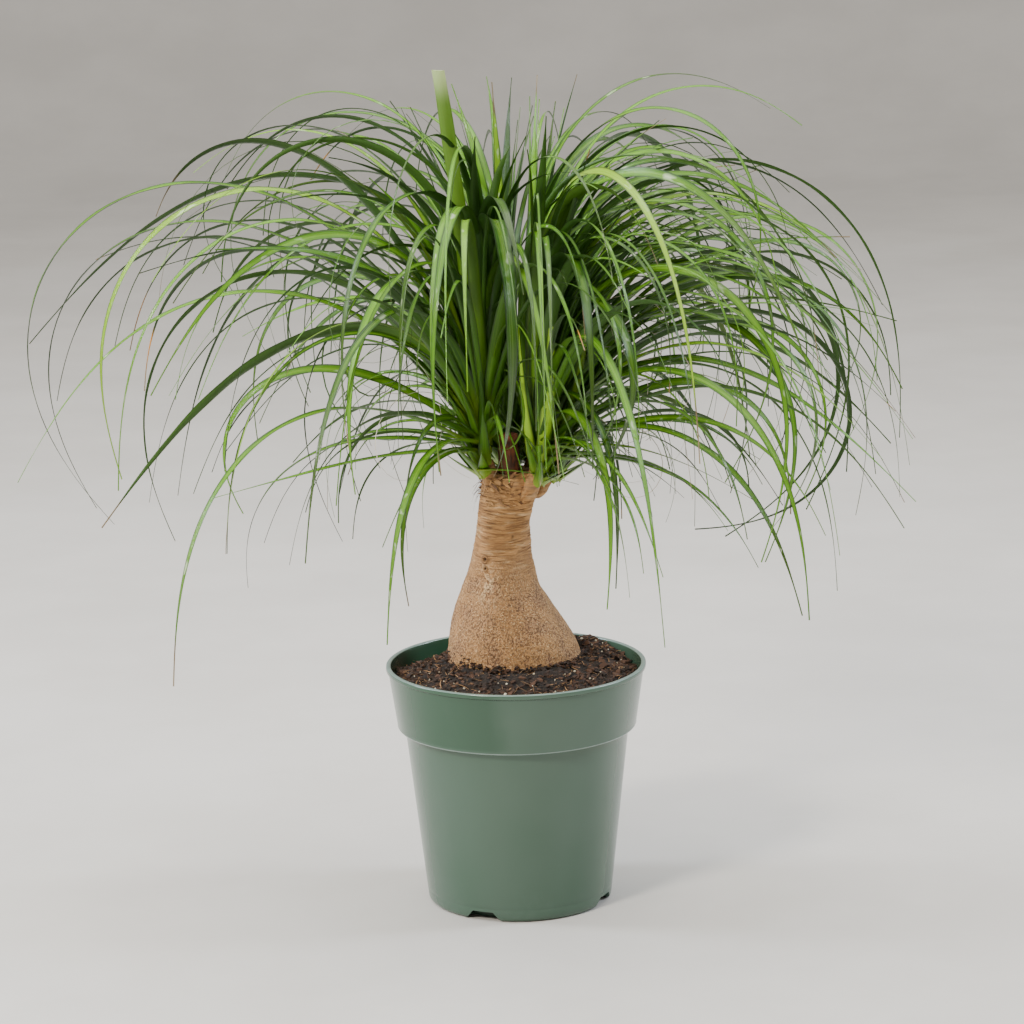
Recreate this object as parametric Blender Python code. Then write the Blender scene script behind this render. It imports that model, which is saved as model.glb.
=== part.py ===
# Potted ponytail palm: a nursery pot, its soil, a swollen trunk and five heads of strap leaves.
# Metres, +Z up. The origin is the middle of the pot's foot and -Y is the side towards the viewer.

import math
import random

import bmesh
import bpy
import numpy as np
from mathutils import Vector

# Pot
POT_HEIGHT = 0.237
RIM_RADIUS = 0.127
LIP_HEIGHT = 0.004
LIP_DEPTH = 0.0022
BAND_HEIGHT = 0.062
BAND_FOOT_RADIUS = 0.1167
BODY_TOP_RADIUS = 0.1096
FOOT_RADIUS = 0.0905
FOOT_ROUND = 0.005
FLOOR_THICKNESS = 0.003
WALL = 0.0026
STEP_FOOT = POT_HEIGHT - BAND_HEIGHT + 0.0010
STEP_TOP = POT_HEIGHT - BAND_HEIGHT + 0.0055
POT_SIDES = 48
NOTCH_WIDTH = 0.038
NOTCH_TOP_WIDTH = 0.021
NOTCH_HEIGHT = 0.0095
NOTCH_DEPTH = 0.016
NOTCH_ANGLES = (-114, -24, 66, 156)

# Soil
GAP = 0.0003
SOIL_EDGE_HEIGHT = 0.222
SOIL_MIDDLE_HEIGHT = 0.236
SOIL_FOOT_BEVEL = 0.014
SOIL_RINGS = (0, 0.18, 0.42, 0.7, 0.9, 1)
MOUND = {"middle": (0.075, 0.070), "height": 0.011, "spread": 0.0011}
HOLLOW = {"middle": (-0.080, 0.060), "height": -0.006, "spread": 0.0015}
LUMP_HEIGHT = 0.0013

# Trunk: its outline from the soil up, as (height, middle x, half width)
TRUNK_OUTLINE = (
    (0.190, -0.0015, 0.0660),
    (0.236, -0.0015, 0.0660),
    (0.250, -0.0025, 0.0635),
    (0.264, -0.0045, 0.0590),
    (0.284, -0.0085, 0.0500),
    (0.311, -0.0130, 0.0370),
    (0.342, -0.0130, 0.0285),
    (0.372, -0.0098, 0.0258),
    (0.393, -0.0060, 0.0260),
    (0.410, -0.0010, 0.0282),
    (0.419, 0.0010, 0.0300),
    (0.424, 0.0012, 0.0275),
)
TRUNK_MIDDLE_Y = 0.020
TRUNK_DEPTH_SHARE = 0.86
ROUND_FROM = 0.24
ROUND_OVER = 0.1
TRUNK_SIDES = 24
RING_STEP = 0.0090
SWELL_FROM = SOIL_MIDDLE_HEIGHT + 0.004
NECK_FROM = 0.33
NECK_OVER = 0.03
BARK_RING_DEPTH = 0.0007
BARK_RING_GAP = 0.0115
STUMP_PLACE = (-0.004, 0.016)
STUMP_RADIUS = 0.0066
STUMP_TOP = 0.462
STUB_SIDES = 9
STUB_FOOT = 0.398
STUB_SHOULDER = 0.010

# Leaves
BEND_SHARPNESS = 1.5
FINE_STEPS = 72
SEGMENT_TURN = 30
LEAST_SEGMENTS = 3
MOST_SEGMENTS = 6
KEEL_SHARE = 0.17
FLAT_ROOT = 0.28
LEAST_KEEL = 0.0009
LEAST_WIDTH = 0.0016
LEAF_WIDTHS = (0.012, 0.022)
LEAF_FULLNESS = (1.7, 2.3)
CORE_SIDES = 10
CORE_HEIGHT = 0.105
CORE_RINGS = ((0, 0.92), (0.12, 1), (0.45, 0.86), (0.75, 0.55))
ROOT_OUT = 0.55
ROOT_DRAWN_IN = 0.35
ROOT_HEIGHT = 0.012
ROOT_RISE = 0.030
LEAF_TRIES = 24
EASE_STEPS = 40
ROOT_SHIFT = 0.005
ROOT_SLANT = 0.2
MOST_SWING = 16
MOST_ROLL = 40
MOST_TWIST = 75
EDGE_SHIFT = 2
GIVEN_SHIFT = 4
DRAWN_SHIFT = 16
CLASH_STEP = 4
CLASH_ROOM = 0.004
BLUNT_TURN = 12
BLUNT_ROLL_SHARE = 0.1

# Drawn leaves by age; an arching or hanging leaf turns by its rise and more
HANGING_AGE = 0.80
YOUNG = {"rise": (78, 95), "turn": (15, 110), "length": (0.22, 0.44), "width": (0.012, 0.017)}
ARCHING = {"rise": (104, 54), "more_turn": (35, 125), "length": (0.42, 0.74), "width": (0.010, 0.015)}
HANGING = {"rise": (5, 45), "more_turn": (60, 110), "length": (0.20, 0.42), "width": (0.009, 0.013)}

# Room for the leaves: a dome over the plant for the drawn ones, and limits for all of them
CROWN_TOP = 0.828
ARCH_TOP = 0.802
CROWN_LEFT = -0.482
CROWN_RIGHT = 0.392
CROWN_DEPTH = 0.430
DOME_MIDDLE = (-0.028, 0.020, 0.500)
DOME_LEFT = 0.455
DOME_RIGHT = 0.420
DOME_DEPTH = 0.420
DOME_HEIGHT = 0.288
LOWEST_TIP = 0.235
LOWEST_DRAWN_TIP = (0.29, 0.40)
RANGE_CLEARANCE = 0.0015
HEAD_DROP = 0.02
OVER_POT = 0.02
POT_CLEARANCE = 0.148
TRUNK_CLEARANCE = 0.082
TRUNK_VIEW = 0.085
VIEW_FALL = 0.218

GREEN = (0.045, 0.130, 0.022, 1)
COLOURS = {
    "pot": ((0.075, 0.160, 0.100, 1), 0.34),
    "soil": ((0.030, 0.018, 0.012, 1), 0.95),
    "trunk": ((0.420, 0.260, 0.140, 1), 0.85),
    "crown": (GREEN, 0.45),
}

# Heads: the place of the stub's top, core radius, the range of azimuths, seed, number of drawn
# leaves, their young share, and the leaves that give the plant its outline, each as (azimuth, rise
# at the root, whole turn, length, width, share of the length where half the turn is done)
HEADS = {
    "crown_left": {
        "place": (-0.026, 0.008, 0.434),
        "core": 0.0155, "range": (150, 284),
        "seed": 15, "drawn": 24, "young": 0.12,
        "leaves": (
            (186, 66, 196, 0.83, 0.014, 0.58),
            (172, 94, 142, 0.675, 0.013, 0.40),
            (178, 72, 140, 0.50, 0.021, 0.75),
            (190, 75, 180, 0.70, 0.013, 0.55),
            (204, 68, 120, 0.50, 0.018, 0.35),
            (184, 60, 180, 0.73, 0.012, 0.60),
            (180, 57, 135, 0.58, 0.012, 0.62),
            (175, 65, 140, 0.52, 0.010, 0.62),
            (198, 62, 175, 0.60, 0.014, 0.55),
            (215, 30, 115, 0.52, 0.012, 0.52),
            (212, 10, 20, 0.28, 0.011, 0.30),
            (232, 90, 190, 0.47, 0.018, 0.48),
            (242, 100, 200, 0.60, 0.017, 0.52),
            (246, 79, 8, 0.386, 0.020, 0.50),
            (170, 85, 210, 0.60, 0.012, 0.68),
            (165, 94, 160, 0.54, 0.010, 0.68),
            (160, 100, 155, 0.45, 0.012, 0.68),
            (192, 38, 155, 0.37, 0.013, 0.65),
            (180, 70, 150, 0.46, 0.012, 0.58),
            (178, 70, 145, 0.55, 0.012, 0.60),
            (235, 17, 120, 0.23, 0.010, 0.45),
            (276, 100, 250, 0.62, 0.026, 0.50),
            (262, 95, 200, 0.60, 0.014, 0.52),
            (272, 92, 150, 0.44, 0.021, 0.62),
            (282, 90, 70, 0.36, 0.021, 0.60),
            (266, 84, 40, 0.33, 0.022, 0.60),
            (250, 82, 170, 0.44, 0.019, 0.55),
        ),
    },
    "crown_front": {
        "place": (0.024, -0.012, 0.430),
        "core": 0.0130, "range": (284, 334),
        "seed": 17, "drawn": 22, "young": 0.20,
        "leaves": (
            (310, 100, 240, 0.41, 0.018, 0.48),
            (290, 85, 180, 0.58, 0.010, 0.55),
            (332, 95, 115, 0.42, 0.022, 0.40),
            (302, 62, 175, 0.31, 0.012, 0.30),
            (325, 80, 190, 0.58, 0.013, 0.46),
            (308, 105, 240, 0.41, 0.013, 0.50),
            (312, 85, 195, 0.30, 0.012, 0.24),
            (330, 98, 205, 0.62, 0.012, 0.63),
            (287, 92, 45, 0.34, 0.020, 0.60),
            (296, 94, 140, 0.44, 0.021, 0.60),
            (288, 86, 190, 0.50, 0.018, 0.55),
            (320, 88, 60, 0.36, 0.020, 0.60),
        ),
    },
    "crown_right": {
        "place": (0.040, 0.016, 0.428),
        "core": 0.0135, "range": (334, 390),
        "seed": 33, "drawn": 20, "young": 0.12,
        "leaves": (
            (360, 96, 134, 0.51, 0.009, 0.66),
            (361, 96, 178, 0.675, 0.013, 0.43),
            (350, 103, 150, 0.50, 0.013, 0.52),
            (365, 72, 195, 0.63, 0.011, 0.57),
            (352, 92, 148, 0.52, 0.012, 0.36),
            (345, 56, 102, 0.42, 0.012, 0.33),
            (340, 72, 185, 0.50, 0.015, 0.46),
            (337, 3, 66, 0.24, 0.010, 0.54),
            (338, 95, 125, 0.25, 0.011, 0.17),
            (355, 55, 230, 0.60, 0.011, 0.56),
            (348, 54, 170, 0.44, 0.011, 0.60),
            (344, 53, 140, 0.45, 0.011, 0.43),
            (358, 68, 170, 0.56, 0.011, 0.50),
            (366, 97, 160, 0.58, 0.011, 0.50),
            (349, 102, 196, 0.60, 0.012, 0.60),
            (372, 64, 212, 0.62, 0.010, 0.52),
            (369, 60, 148, 0.50, 0.011, 0.63),
            (384, 54, 185, 0.55, 0.011, 0.69),
            (347, 57, 187, 0.48, 0.016, 0.56),
            (352, 93, 145, 0.52, 0.012, 0.49),
            (338, 88, 72, 0.32, 0.018, 0.38),
            (355, 93, 185, 0.70, 0.012, 0.48),
            (345, 92, 148, 0.52, 0.012, 0.36),
            (338, 35, 90, 0.41, 0.011, 0.50),
        ),
    },
    "crown_back_right": {
        "place": (0.022, 0.050, 0.436),
        "core": 0.0120, "range": (30, 76),
        "seed": 41, "drawn": 25, "young": 0.25,
        "leaves": (
            (35, 98, 130, 0.53, 0.011, 0.60),
            (72, 92, 20, 0.33, 0.019, 0.60),
            (55, 88, 30, 0.34, 0.018, 0.60),
        ),
    },
    "crown_back_left": {
        "place": (-0.006, 0.056, 0.433),
        "core": 0.0125, "range": (76, 150),
        "seed": 58, "drawn": 25, "young": 0.25,
        "leaves": (
            (108, 92, 14, 0.35, 0.019, 0.60),
            (82, 86, 30, 0.34, 0.021, 0.60),
            (90, 92, 60, 0.36, 0.020, 0.60),
            (125, 90, 30, 0.34, 0.018, 0.60),
        ),
    },
}
TRUNK_AXIS = (0.0, TRUNK_MIDDLE_Y)


def clear_scene():
    for thing in list(bpy.data.objects):
        bpy.data.objects.remove(thing, do_unlink=True)


def material(name, key):
    colour, roughness = COLOURS[key]
    made = bpy.data.materials.new(name)
    made.use_nodes = True
    shader = made.node_tree.nodes["Principled BSDF"]
    shader.inputs["Base Color"].default_value = colour
    shader.inputs["Roughness"].default_value = roughness
    made.diffuse_color = colour
    return made


def add_object(name, points, faces, finish, collection=None):
    mesh = bpy.data.meshes.new(name)
    mesh.from_pydata([tuple(point) for point in points], [], faces)
    mesh.materials.append(finish)
    thing = bpy.data.objects.new(name, mesh)
    (collection or bpy.context.scene.collection).objects.link(thing)
    return thing


def smooth(thing, degrees=40):
    thing.data.shade_smooth()
    thing.data.set_sharp_from_angle(angle=math.radians(degrees))


def lofted(rings, foot=None, top=None, leaning=None):
    """Points and outward faces of a body of rings, counter-clockwise from above, closed by foot and top.

    The walls are split into triangles, on a leaning blade all towards the same edge of it."""
    sides = len(rings[0])
    points = [point for ring in rings for point in ring]
    faces = []
    for row in range(len(rings) - 1):
        for side in range(sides):
            here, beside = row * sides + side, row * sides + (side + 1) % sides
            if leaning is not None and (side == sides - 1) != leaning:
                faces += [(here, beside, here + sides), (beside, beside + sides, here + sides)]
            else:
                faces += [(here, beside, beside + sides), (here, beside + sides, here + sides)]
    last = (len(rings) - 1) * sides
    if foot is None:
        faces.append(tuple(reversed(range(sides))))
    else:
        points.append(foot)
        faces += [((side + 1) % sides, side, len(points) - 1) for side in range(sides)]
    if top is None:
        faces.append(tuple(last + side for side in range(sides)))
    else:
        points.append(top)
        faces += [(last + side, last + (side + 1) % sides, len(points) - 1) for side in range(sides)]
    return points, faces


def level_ring(middle_x, middle_y, height, half_x, half_y, sides):
    turns = [2 * math.pi * side / sides for side in range(sides)]
    return [
        (middle_x + half_x * math.cos(turn), middle_y + half_y * math.sin(turn), height)
        for turn in turns
    ]


def boolean(thing, other, operation, solver="EXACT"):
    """One Boolean of thing with an object or with every object of a collection, applied."""
    modifier = thing.modifiers.new(operation.lower(), "BOOLEAN")
    modifier.operation = operation
    modifier.solver = solver
    if isinstance(other, bpy.types.Collection):
        modifier.operand_type = "COLLECTION"
        modifier.collection = other
    else:
        modifier.object = other
    bpy.context.view_layer.update()
    evaluated = thing.evaluated_get(bpy.context.evaluated_depsgraph_get())
    result = bpy.data.meshes.new_from_object(evaluated)
    thing.modifiers.remove(modifier)
    thing.data = result


def keep_main_body(thing):
    """Fills the small hollows that joining seals, and drops loose scraps, by keeping the largest body."""
    work = bmesh.new()
    work.from_mesh(thing.data)
    bmesh.ops.triangulate(work, faces=work.faces[:])
    waiting = set(work.faces)
    bodies = []
    while waiting:
        body, edge_of_body = set(), [waiting.pop()]
        while edge_of_body:
            face = edge_of_body.pop()
            body.add(face)
            for edge in face.edges:
                for beside in edge.link_faces:
                    if beside in waiting:
                        waiting.discard(beside)
                        edge_of_body.append(beside)
        bodies.append(body)
    bodies.sort(key=len)
    for body in bodies[:-1]:
        bmesh.ops.delete(work, geom=list(body), context="FACES")
    work.to_mesh(thing.data)
    work.free()


def remove_all(collection):
    for thing in list(collection.objects):
        bpy.data.objects.remove(thing, do_unlink=True)
    bpy.data.collections.remove(collection)


# Pot

def inner_radius(height):
    """The pot's inner wall, which follows the band's step."""
    return float(np.interp(height, *zip(
        (0, FOOT_RADIUS - WALL),
        (STEP_FOOT, BODY_TOP_RADIUS - WALL),
        (STEP_TOP, BAND_FOOT_RADIUS - WALL),
        (POT_HEIGHT, RIM_RADIUS - LIP_DEPTH - WALL),
    )))


def pot_profile():
    """From the middle of the floor up the inner wall, over the lip and down the outside to the middle."""
    band_foot = POT_HEIGHT - BAND_HEIGHT
    lip_foot = POT_HEIGHT - LIP_HEIGHT
    band_top = RIM_RADIUS - LIP_DEPTH
    inside_top = inner_radius(POT_HEIGHT)
    profile = [
        (0, FLOOR_THICKNESS),
        (inner_radius(FLOOR_THICKNESS) - 0.004, FLOOR_THICKNESS),
        (inner_radius(FLOOR_THICKNESS + 0.004), FLOOR_THICKNESS + 0.004),
        (inner_radius(STEP_FOOT), STEP_FOOT),
        (inner_radius(STEP_TOP), STEP_TOP),
        (inner_radius(POT_HEIGHT - 0.001), POT_HEIGHT - 0.001),
        (inside_top + 0.001, POT_HEIGHT),
        (RIM_RADIUS - 0.0008, POT_HEIGHT),
        (RIM_RADIUS, POT_HEIGHT - 0.001),
        (RIM_RADIUS, lip_foot),
        (band_top, lip_foot - 0.0012),
        (BAND_FOOT_RADIUS + 0.0006, band_foot + 0.0045),
        (BAND_FOOT_RADIUS, band_foot + 0.0020),
        (BAND_FOOT_RADIUS - 0.0022, band_foot),
        (BODY_TOP_RADIUS, band_foot - 0.0004),
        (FOOT_RADIUS, FOOT_ROUND),
    ]
    for share in (0.5, 1):
        turn = share * math.pi / 2
        profile.append((
            FOOT_RADIUS - FOOT_ROUND * (1 - math.cos(turn)),
            FOOT_ROUND * (1 - math.sin(turn)),
        ))
    profile.append((0, 0))
    return profile


def make_notch_cutter(finish):
    """Four wedges round the foot, wide at the ground and narrower above."""
    points, faces = [], []
    for angle in NOTCH_ANGLES:
        turn = math.radians(angle)
        out = Vector((math.cos(turn), math.sin(turn), 0))
        along = Vector((-math.sin(turn), math.cos(turn), 0))
        up = Vector((0, 0, 1))
        rings = []
        for reach in (FOOT_RADIUS - NOTCH_DEPTH, FOOT_RADIUS + 0.01):
            low, high = -0.002, NOTCH_HEIGHT
            rings.append([
                out * reach + along * (NOTCH_WIDTH / 2 + 0.002) + up * low,
                out * reach - along * (NOTCH_WIDTH / 2 + 0.002) + up * low,
                out * reach - along * (NOTCH_TOP_WIDTH / 2) + up * high,
                out * reach + along * (NOTCH_TOP_WIDTH / 2) + up * high,
            ])
        wedge_points, wedge_faces = lofted([list(reversed(ring)) for ring in rings])
        faces += [tuple(corner + len(points) for corner in face) for face in wedge_faces]
        points += wedge_points
    cutter = add_object("notch_cutter", points, faces, finish)
    cutter.hide_render = True
    cutter.display_type = "WIRE"
    return cutter


def make_pot():
    finish = material("pot_plastic", "pot")
    profile = pot_profile()
    mesh = bpy.data.meshes.new("pot")
    mesh.from_pydata([(x, 0, z) for x, z in profile], [(k, k + 1) for k in range(len(profile) - 1)], [])
    mesh.materials.append(finish)
    pot = bpy.data.objects.new("pot", mesh)
    bpy.context.scene.collection.objects.link(pot)
    turned = pot.modifiers.new("turned", "SCREW")
    turned.steps = turned.render_steps = POT_SIDES
    turned.use_merge_vertices = True
    turned.merge_threshold = 0.00001
    cut = pot.modifiers.new("notches", "BOOLEAN")
    cut.operation = "DIFFERENCE"
    cut.object = make_notch_cutter(finish)
    return pot


# Soil

def soil_height(x, y, share):
    """Height of the soil's top at a share of the way from the pot's wall, 0, to the trunk, 1."""
    uneven = LUMP_HEIGHT * math.sin(x * 190 + 2 * math.sin(y * 120)) * math.sin(y * 170 + 1.3)
    for form in (MOUND, HOLLOW):
        from_middle = (x - form["middle"][0]) ** 2 + (y - form["middle"][1]) ** 2
        uneven += form["height"] * math.exp(-from_middle / form["spread"])
    rise = SOIL_EDGE_HEIGHT + (SOIL_MIDDLE_HEIGHT - SOIL_EDGE_HEIGHT) * math.sin(share * math.pi / 2)
    level_edges = math.sin(min(1, 4 * (share + 0.12) * (1.12 - share)) * math.pi / 2)
    return rise + uneven * level_edges


def make_soil():
    floor = FLOOR_THICKNESS + GAP
    bevel = floor + SOIL_FOOT_BEVEL
    wall_foot = inner_radius(bevel) - GAP
    foot_height, middle_x, socket_x = TRUNK_OUTLINE[0]
    socket_x += GAP
    socket_y = TRUNK_OUTLINE[0][2] * TRUNK_DEPTH_SHARE + GAP
    turns = [2 * math.pi * side / POT_SIDES for side in range(POT_SIDES)]
    rings = [
        level_ring(0, 0, floor, wall_foot - SOIL_FOOT_BEVEL, wall_foot - SOIL_FOOT_BEVEL, POT_SIDES),
        level_ring(0, 0, bevel, wall_foot, wall_foot, POT_SIDES),
    ]
    for height in (STEP_FOOT, STEP_TOP):
        wall = inner_radius(height) - GAP
        rings.append(level_ring(0, 0, height + GAP, wall, wall, POT_SIDES))
    for share in SOIL_RINGS:
        ring = []
        for turn in turns:
            edge = inner_radius(SOIL_EDGE_HEIGHT) - GAP
            outer = Vector((edge * math.cos(turn), edge * math.sin(turn)))
            inner = Vector((
                middle_x + socket_x * math.cos(turn),
                TRUNK_MIDDLE_Y + socket_y * math.sin(turn),
            ))
            place = outer.lerp(inner, share)
            height = soil_height(place.x, place.y, share)
            if share == 0:
                wall = inner_radius(height) - GAP
                place *= wall / edge
            ring.append((place.x, place.y, height))
        rings.append(ring)
    rings.append(level_ring(
        middle_x, TRUNK_MIDDLE_Y, foot_height - GAP, socket_x, socket_y, POT_SIDES))
    points, faces = lofted(
        rings, foot=(0, 0, floor), top=(middle_x, TRUNK_MIDDLE_Y, foot_height - GAP))
    soil = add_object("soil", points, faces, material("potting_mix", "soil"))
    smooth(soil)
    return soil


# Trunk

def trunk_section(height):
    """Middle x and half width of the trunk at a height, eased between the outline's rows."""
    for low, high in zip(TRUNK_OUTLINE, TRUNK_OUTLINE[1:]):
        if height <= high[0]:
            share = max(0, (height - low[0]) / (high[0] - low[0]))
            return [a + (b - a) * share for a, b in zip(low[1:], high[1:])]
    return list(TRUNK_OUTLINE[-1][1:])


def bark_swell(turn, height):
    """Uneven bark above the soil: broad swellings, and fine rings on the neck."""
    if height <= SWELL_FROM:
        return 0
    broad = 0.0011 * math.sin(3 * turn + 40 * height) + 0.0008 * math.sin(5 * turn - 70 * height)
    neck = min(1, max(0, (height - NECK_FROM) / NECK_OVER))
    rings = math.sin(height * 2 * math.pi / BARK_RING_GAP + 1.5 * math.sin(turn))
    return broad + BARK_RING_DEPTH * neck * rings


def stub(head):
    """The short branch that carries a head, from inside the trunk's top up and outwards."""
    x, y, top = head["place"]
    rings = []
    for reach_x, reach_y, height, swell in (
        (0.45, 0.45, STUB_FOOT, 0.8),
        (0.9, 0.92, top - STUB_SHOULDER, 0.92),
        (1, 1, top, 0.9),
    ):
        middle_y = TRUNK_MIDDLE_Y + (y - TRUNK_MIDDLE_Y) * reach_y
        radius = head["core"] * swell
        rings.append(level_ring(x * reach_x, middle_y, height, radius, radius, STUB_SIDES))
    return lofted(rings)


def stump():
    """The cut stump between the heads."""
    rings = []
    for height, swell in ((STUB_FOOT, 1.3), (STUMP_TOP - 0.004, 1), (STUMP_TOP, 0.6)):
        radius = STUMP_RADIUS * swell
        rings.append(level_ring(*STUMP_PLACE, height, radius, radius, STUB_SIDES))
    return lofted(rings)


def make_trunk():
    finish = material("bark", "trunk")
    heights = [TRUNK_OUTLINE[0][0], SOIL_MIDDLE_HEIGHT]
    while heights[-1] + RING_STEP < TRUNK_OUTLINE[-1][0]:
        heights.append(heights[-1] + RING_STEP)
    heights.append(TRUNK_OUTLINE[-1][0])
    rings = []
    for height in heights:
        middle_x, half = trunk_section(height)
        rounded = min(1, max(0, (height - ROUND_FROM) / ROUND_OVER))
        depth = half * (TRUNK_DEPTH_SHARE + (1 - TRUNK_DEPTH_SHARE) * rounded)
        ring = []
        for side in range(TRUNK_SIDES):
            turn = 2 * math.pi * side / TRUNK_SIDES
            swell = bark_swell(turn, height)
            ring.append((
                middle_x + (half + swell) * math.cos(turn),
                TRUNK_MIDDLE_Y + (depth + swell) * math.sin(turn),
                height,
            ))
        rings.append(ring)
    trunk = add_object("trunk", *lofted(rings), finish)
    extras = bpy.data.collections.new("stubs")
    bpy.context.scene.collection.children.link(extras)
    for name, head in HEADS.items():
        add_object(name + "_stub", *stub(head), finish, extras)
    add_object("stump", *stump(), finish, extras)
    boolean(trunk, extras, "UNION")
    remove_all(extras)
    smooth(trunk)
    return trunk


# Leaves

def bend_share(u, middle):
    """How much of a leaf's whole turn has happened at the share u of its length; half of it at middle."""
    done = (u / middle) ** BEND_SHARPNESS
    return done / (done + ((1 - u) / (1 - middle)) ** BEND_SHARPNESS)


def leaf_width(leaf, u):
    root = np.minimum(1, 0.45 + 5 * u)
    if leaf["blunt"]:
        return leaf["width"] * (1 - 0.35 * u) * root
    fullness = np.interp(leaf["width"], LEAF_WIDTHS, LEAF_FULLNESS)
    return np.maximum(LEAST_WIDTH, leaf["width"] * (1 - u ** fullness) ** 1.15 * root)


def leaf_angles(leaf, u):
    """Rise and heading of a leaf at the shares u of its length, in radians."""
    rise = np.radians(leaf["rise"] - leaf["turn"] * bend_share(u, leaf["middle"]))
    return rise, np.radians(leaf["azimuth"] + leaf["swing"] * u * u)


def leaf_line(leaf):
    """Points down the middle of a leaf, one a row, at even shares of its length."""
    rise, heading = leaf_angles(leaf, (np.arange(FINE_STEPS) + 0.5) / FINE_STEPS)
    steps = np.stack([np.cos(rise) * np.cos(heading), np.cos(rise) * np.sin(heading), np.sin(rise)], axis=1)
    line = np.concatenate([[[0, 0, 0]], np.cumsum(steps, axis=0)]) * leaf["length"] / FINE_STEPS
    return line + leaf["root"]


def leaf_faces(leaf, u):
    """Directions across a leaf and out of its upper face at the shares u of its length."""
    rise, heading = leaf_angles(leaf, u)
    roll = np.radians(leaf["roll"] + leaf["twist"] * u) * np.minimum(1, u / FLAT_ROOT)
    across = np.stack([np.sin(heading), -np.cos(heading), np.zeros_like(heading)], axis=1)
    above = np.stack([-np.sin(rise) * np.cos(heading), -np.sin(rise) * np.sin(heading), np.cos(rise)], axis=1)
    cos, sin = np.cos(roll)[:, None], np.sin(roll)[:, None]
    return across * cos + above * sin, above * cos - across * sin


def wedge_room(line, head):
    """Distance to the nearer of the two upright planes that bound a head's range of azimuths."""
    x, y = line[:, 0] - TRUNK_AXIS[0], line[:, 1] - TRUNK_AXIS[1]
    first, last = (math.radians(angle) for angle in head["range"])
    return np.minimum(
        y * math.cos(first) - x * math.sin(first),
        x * math.sin(last) - y * math.cos(last),
    )


def in_dome(line):
    """Which points lie under the dome that the drawn leaves fill."""
    x, y, z = (line - DOME_MIDDLE).T
    side = np.where(x < 0, DOME_LEFT, DOME_RIGHT)
    return (x / side) ** 2 + (y / DOME_DEPTH) ** 2 + (np.maximum(0, z) / DOME_HEIGHT) ** 2 < 1


def is_clear(leaf, head):
    """Whether a leaf keeps to its head's range and to its room, off the pot, the soil and the trunk."""
    line = leaf_line(leaf)
    width = leaf_width(leaf, np.arange(FINE_STEPS + 1) / FINE_STEPS)
    if (wedge_room(line, head) < width / 2 + RANGE_CLEARANCE).any():
        return False
    line = line[FINE_STEPS // 7:]
    x, y, z = line.T
    from_axis = np.hypot(x - TRUNK_AXIS[0], y - TRUNK_AXIS[1])
    low = head["place"][2] - HEAD_DROP
    blocked = [
        z < leaf["lowest"],
        z > (CROWN_TOP if leaf["blunt"] else ARCH_TOP),
        (z < POT_HEIGHT + OVER_POT) & (np.hypot(x, y) < POT_CLEARANCE),
        abs(y) > CROWN_DEPTH,
        (x < CROWN_LEFT) | (x > CROWN_RIGHT),
        (z < low) & (from_axis < TRUNK_CLEARANCE),
        (z + VIEW_FALL * y < low) & (y < 0) & (abs(x) < TRUNK_VIEW),
        leaf["drawn"] & ~in_dome(line),
    ]
    return not np.any(blocked)


def settled(leaf, head):
    """The leaf with its swing, then its turn and its length, eased until it is clear."""
    for attempt in range(EASE_STEPS):
        if is_clear(leaf, head):
            return leaf
        if attempt < 4:
            leaf["swing"] *= 0.4
        elif attempt % 2:
            leaf["turn"] *= 0.96
        else:
            leaf["length"] *= 0.96
    return None


def drawn_leaf(draw, head, number):
    """One leaf by rule: the youngest stand, the middle ones arch and the oldest hang."""
    first, last = head["range"]
    share = (number * 0.618034 + draw.uniform(-0.02, 0.02)) % 1
    age = (number + 0.5) / head["drawn"]
    young = head["young"]
    if age < young:
        kind = YOUNG
        rise = draw.uniform(*kind["rise"])
        turn = draw.uniform(*kind["turn"])
    elif age < HANGING_AGE:
        kind = ARCHING
        high, low = kind["rise"]
        rise = high + (low - high) * (age - young) / (HANGING_AGE - young) + draw.uniform(-9, 9)
        turn = rise + draw.uniform(*kind["more_turn"])
    else:
        kind = HANGING
        rise = draw.uniform(*kind["rise"])
        turn = rise + draw.uniform(*kind["more_turn"])
    length, width = draw.uniform(*kind["length"]), draw.uniform(*kind["width"])
    return first + (last - first) * share, rise, turn, length, width, draw.uniform(0.40, 0.66)


def marks_of(leaf):
    """A few (x, y, z, half width) down a leaf, past its root, for the room it takes."""
    rows = np.arange(CLASH_STEP * 2, FINE_STEPS + 1, CLASH_STEP)
    return np.column_stack([leaf_line(leaf)[rows], leaf_width(leaf, rows / FINE_STEPS) / 2])


def clash(marks, others):
    """How far a leaf's marks reach into the marks of the leaves before it."""
    if not others:
        return 0
    there = np.concatenate(others)
    apart = np.linalg.norm(marks[:, None, :3] - there[None, :, :3], axis=2)
    return np.clip(marks[:, None, 3] + there[None, :, 3] + CLASH_ROOM - apart, 0, None).sum()


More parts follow.
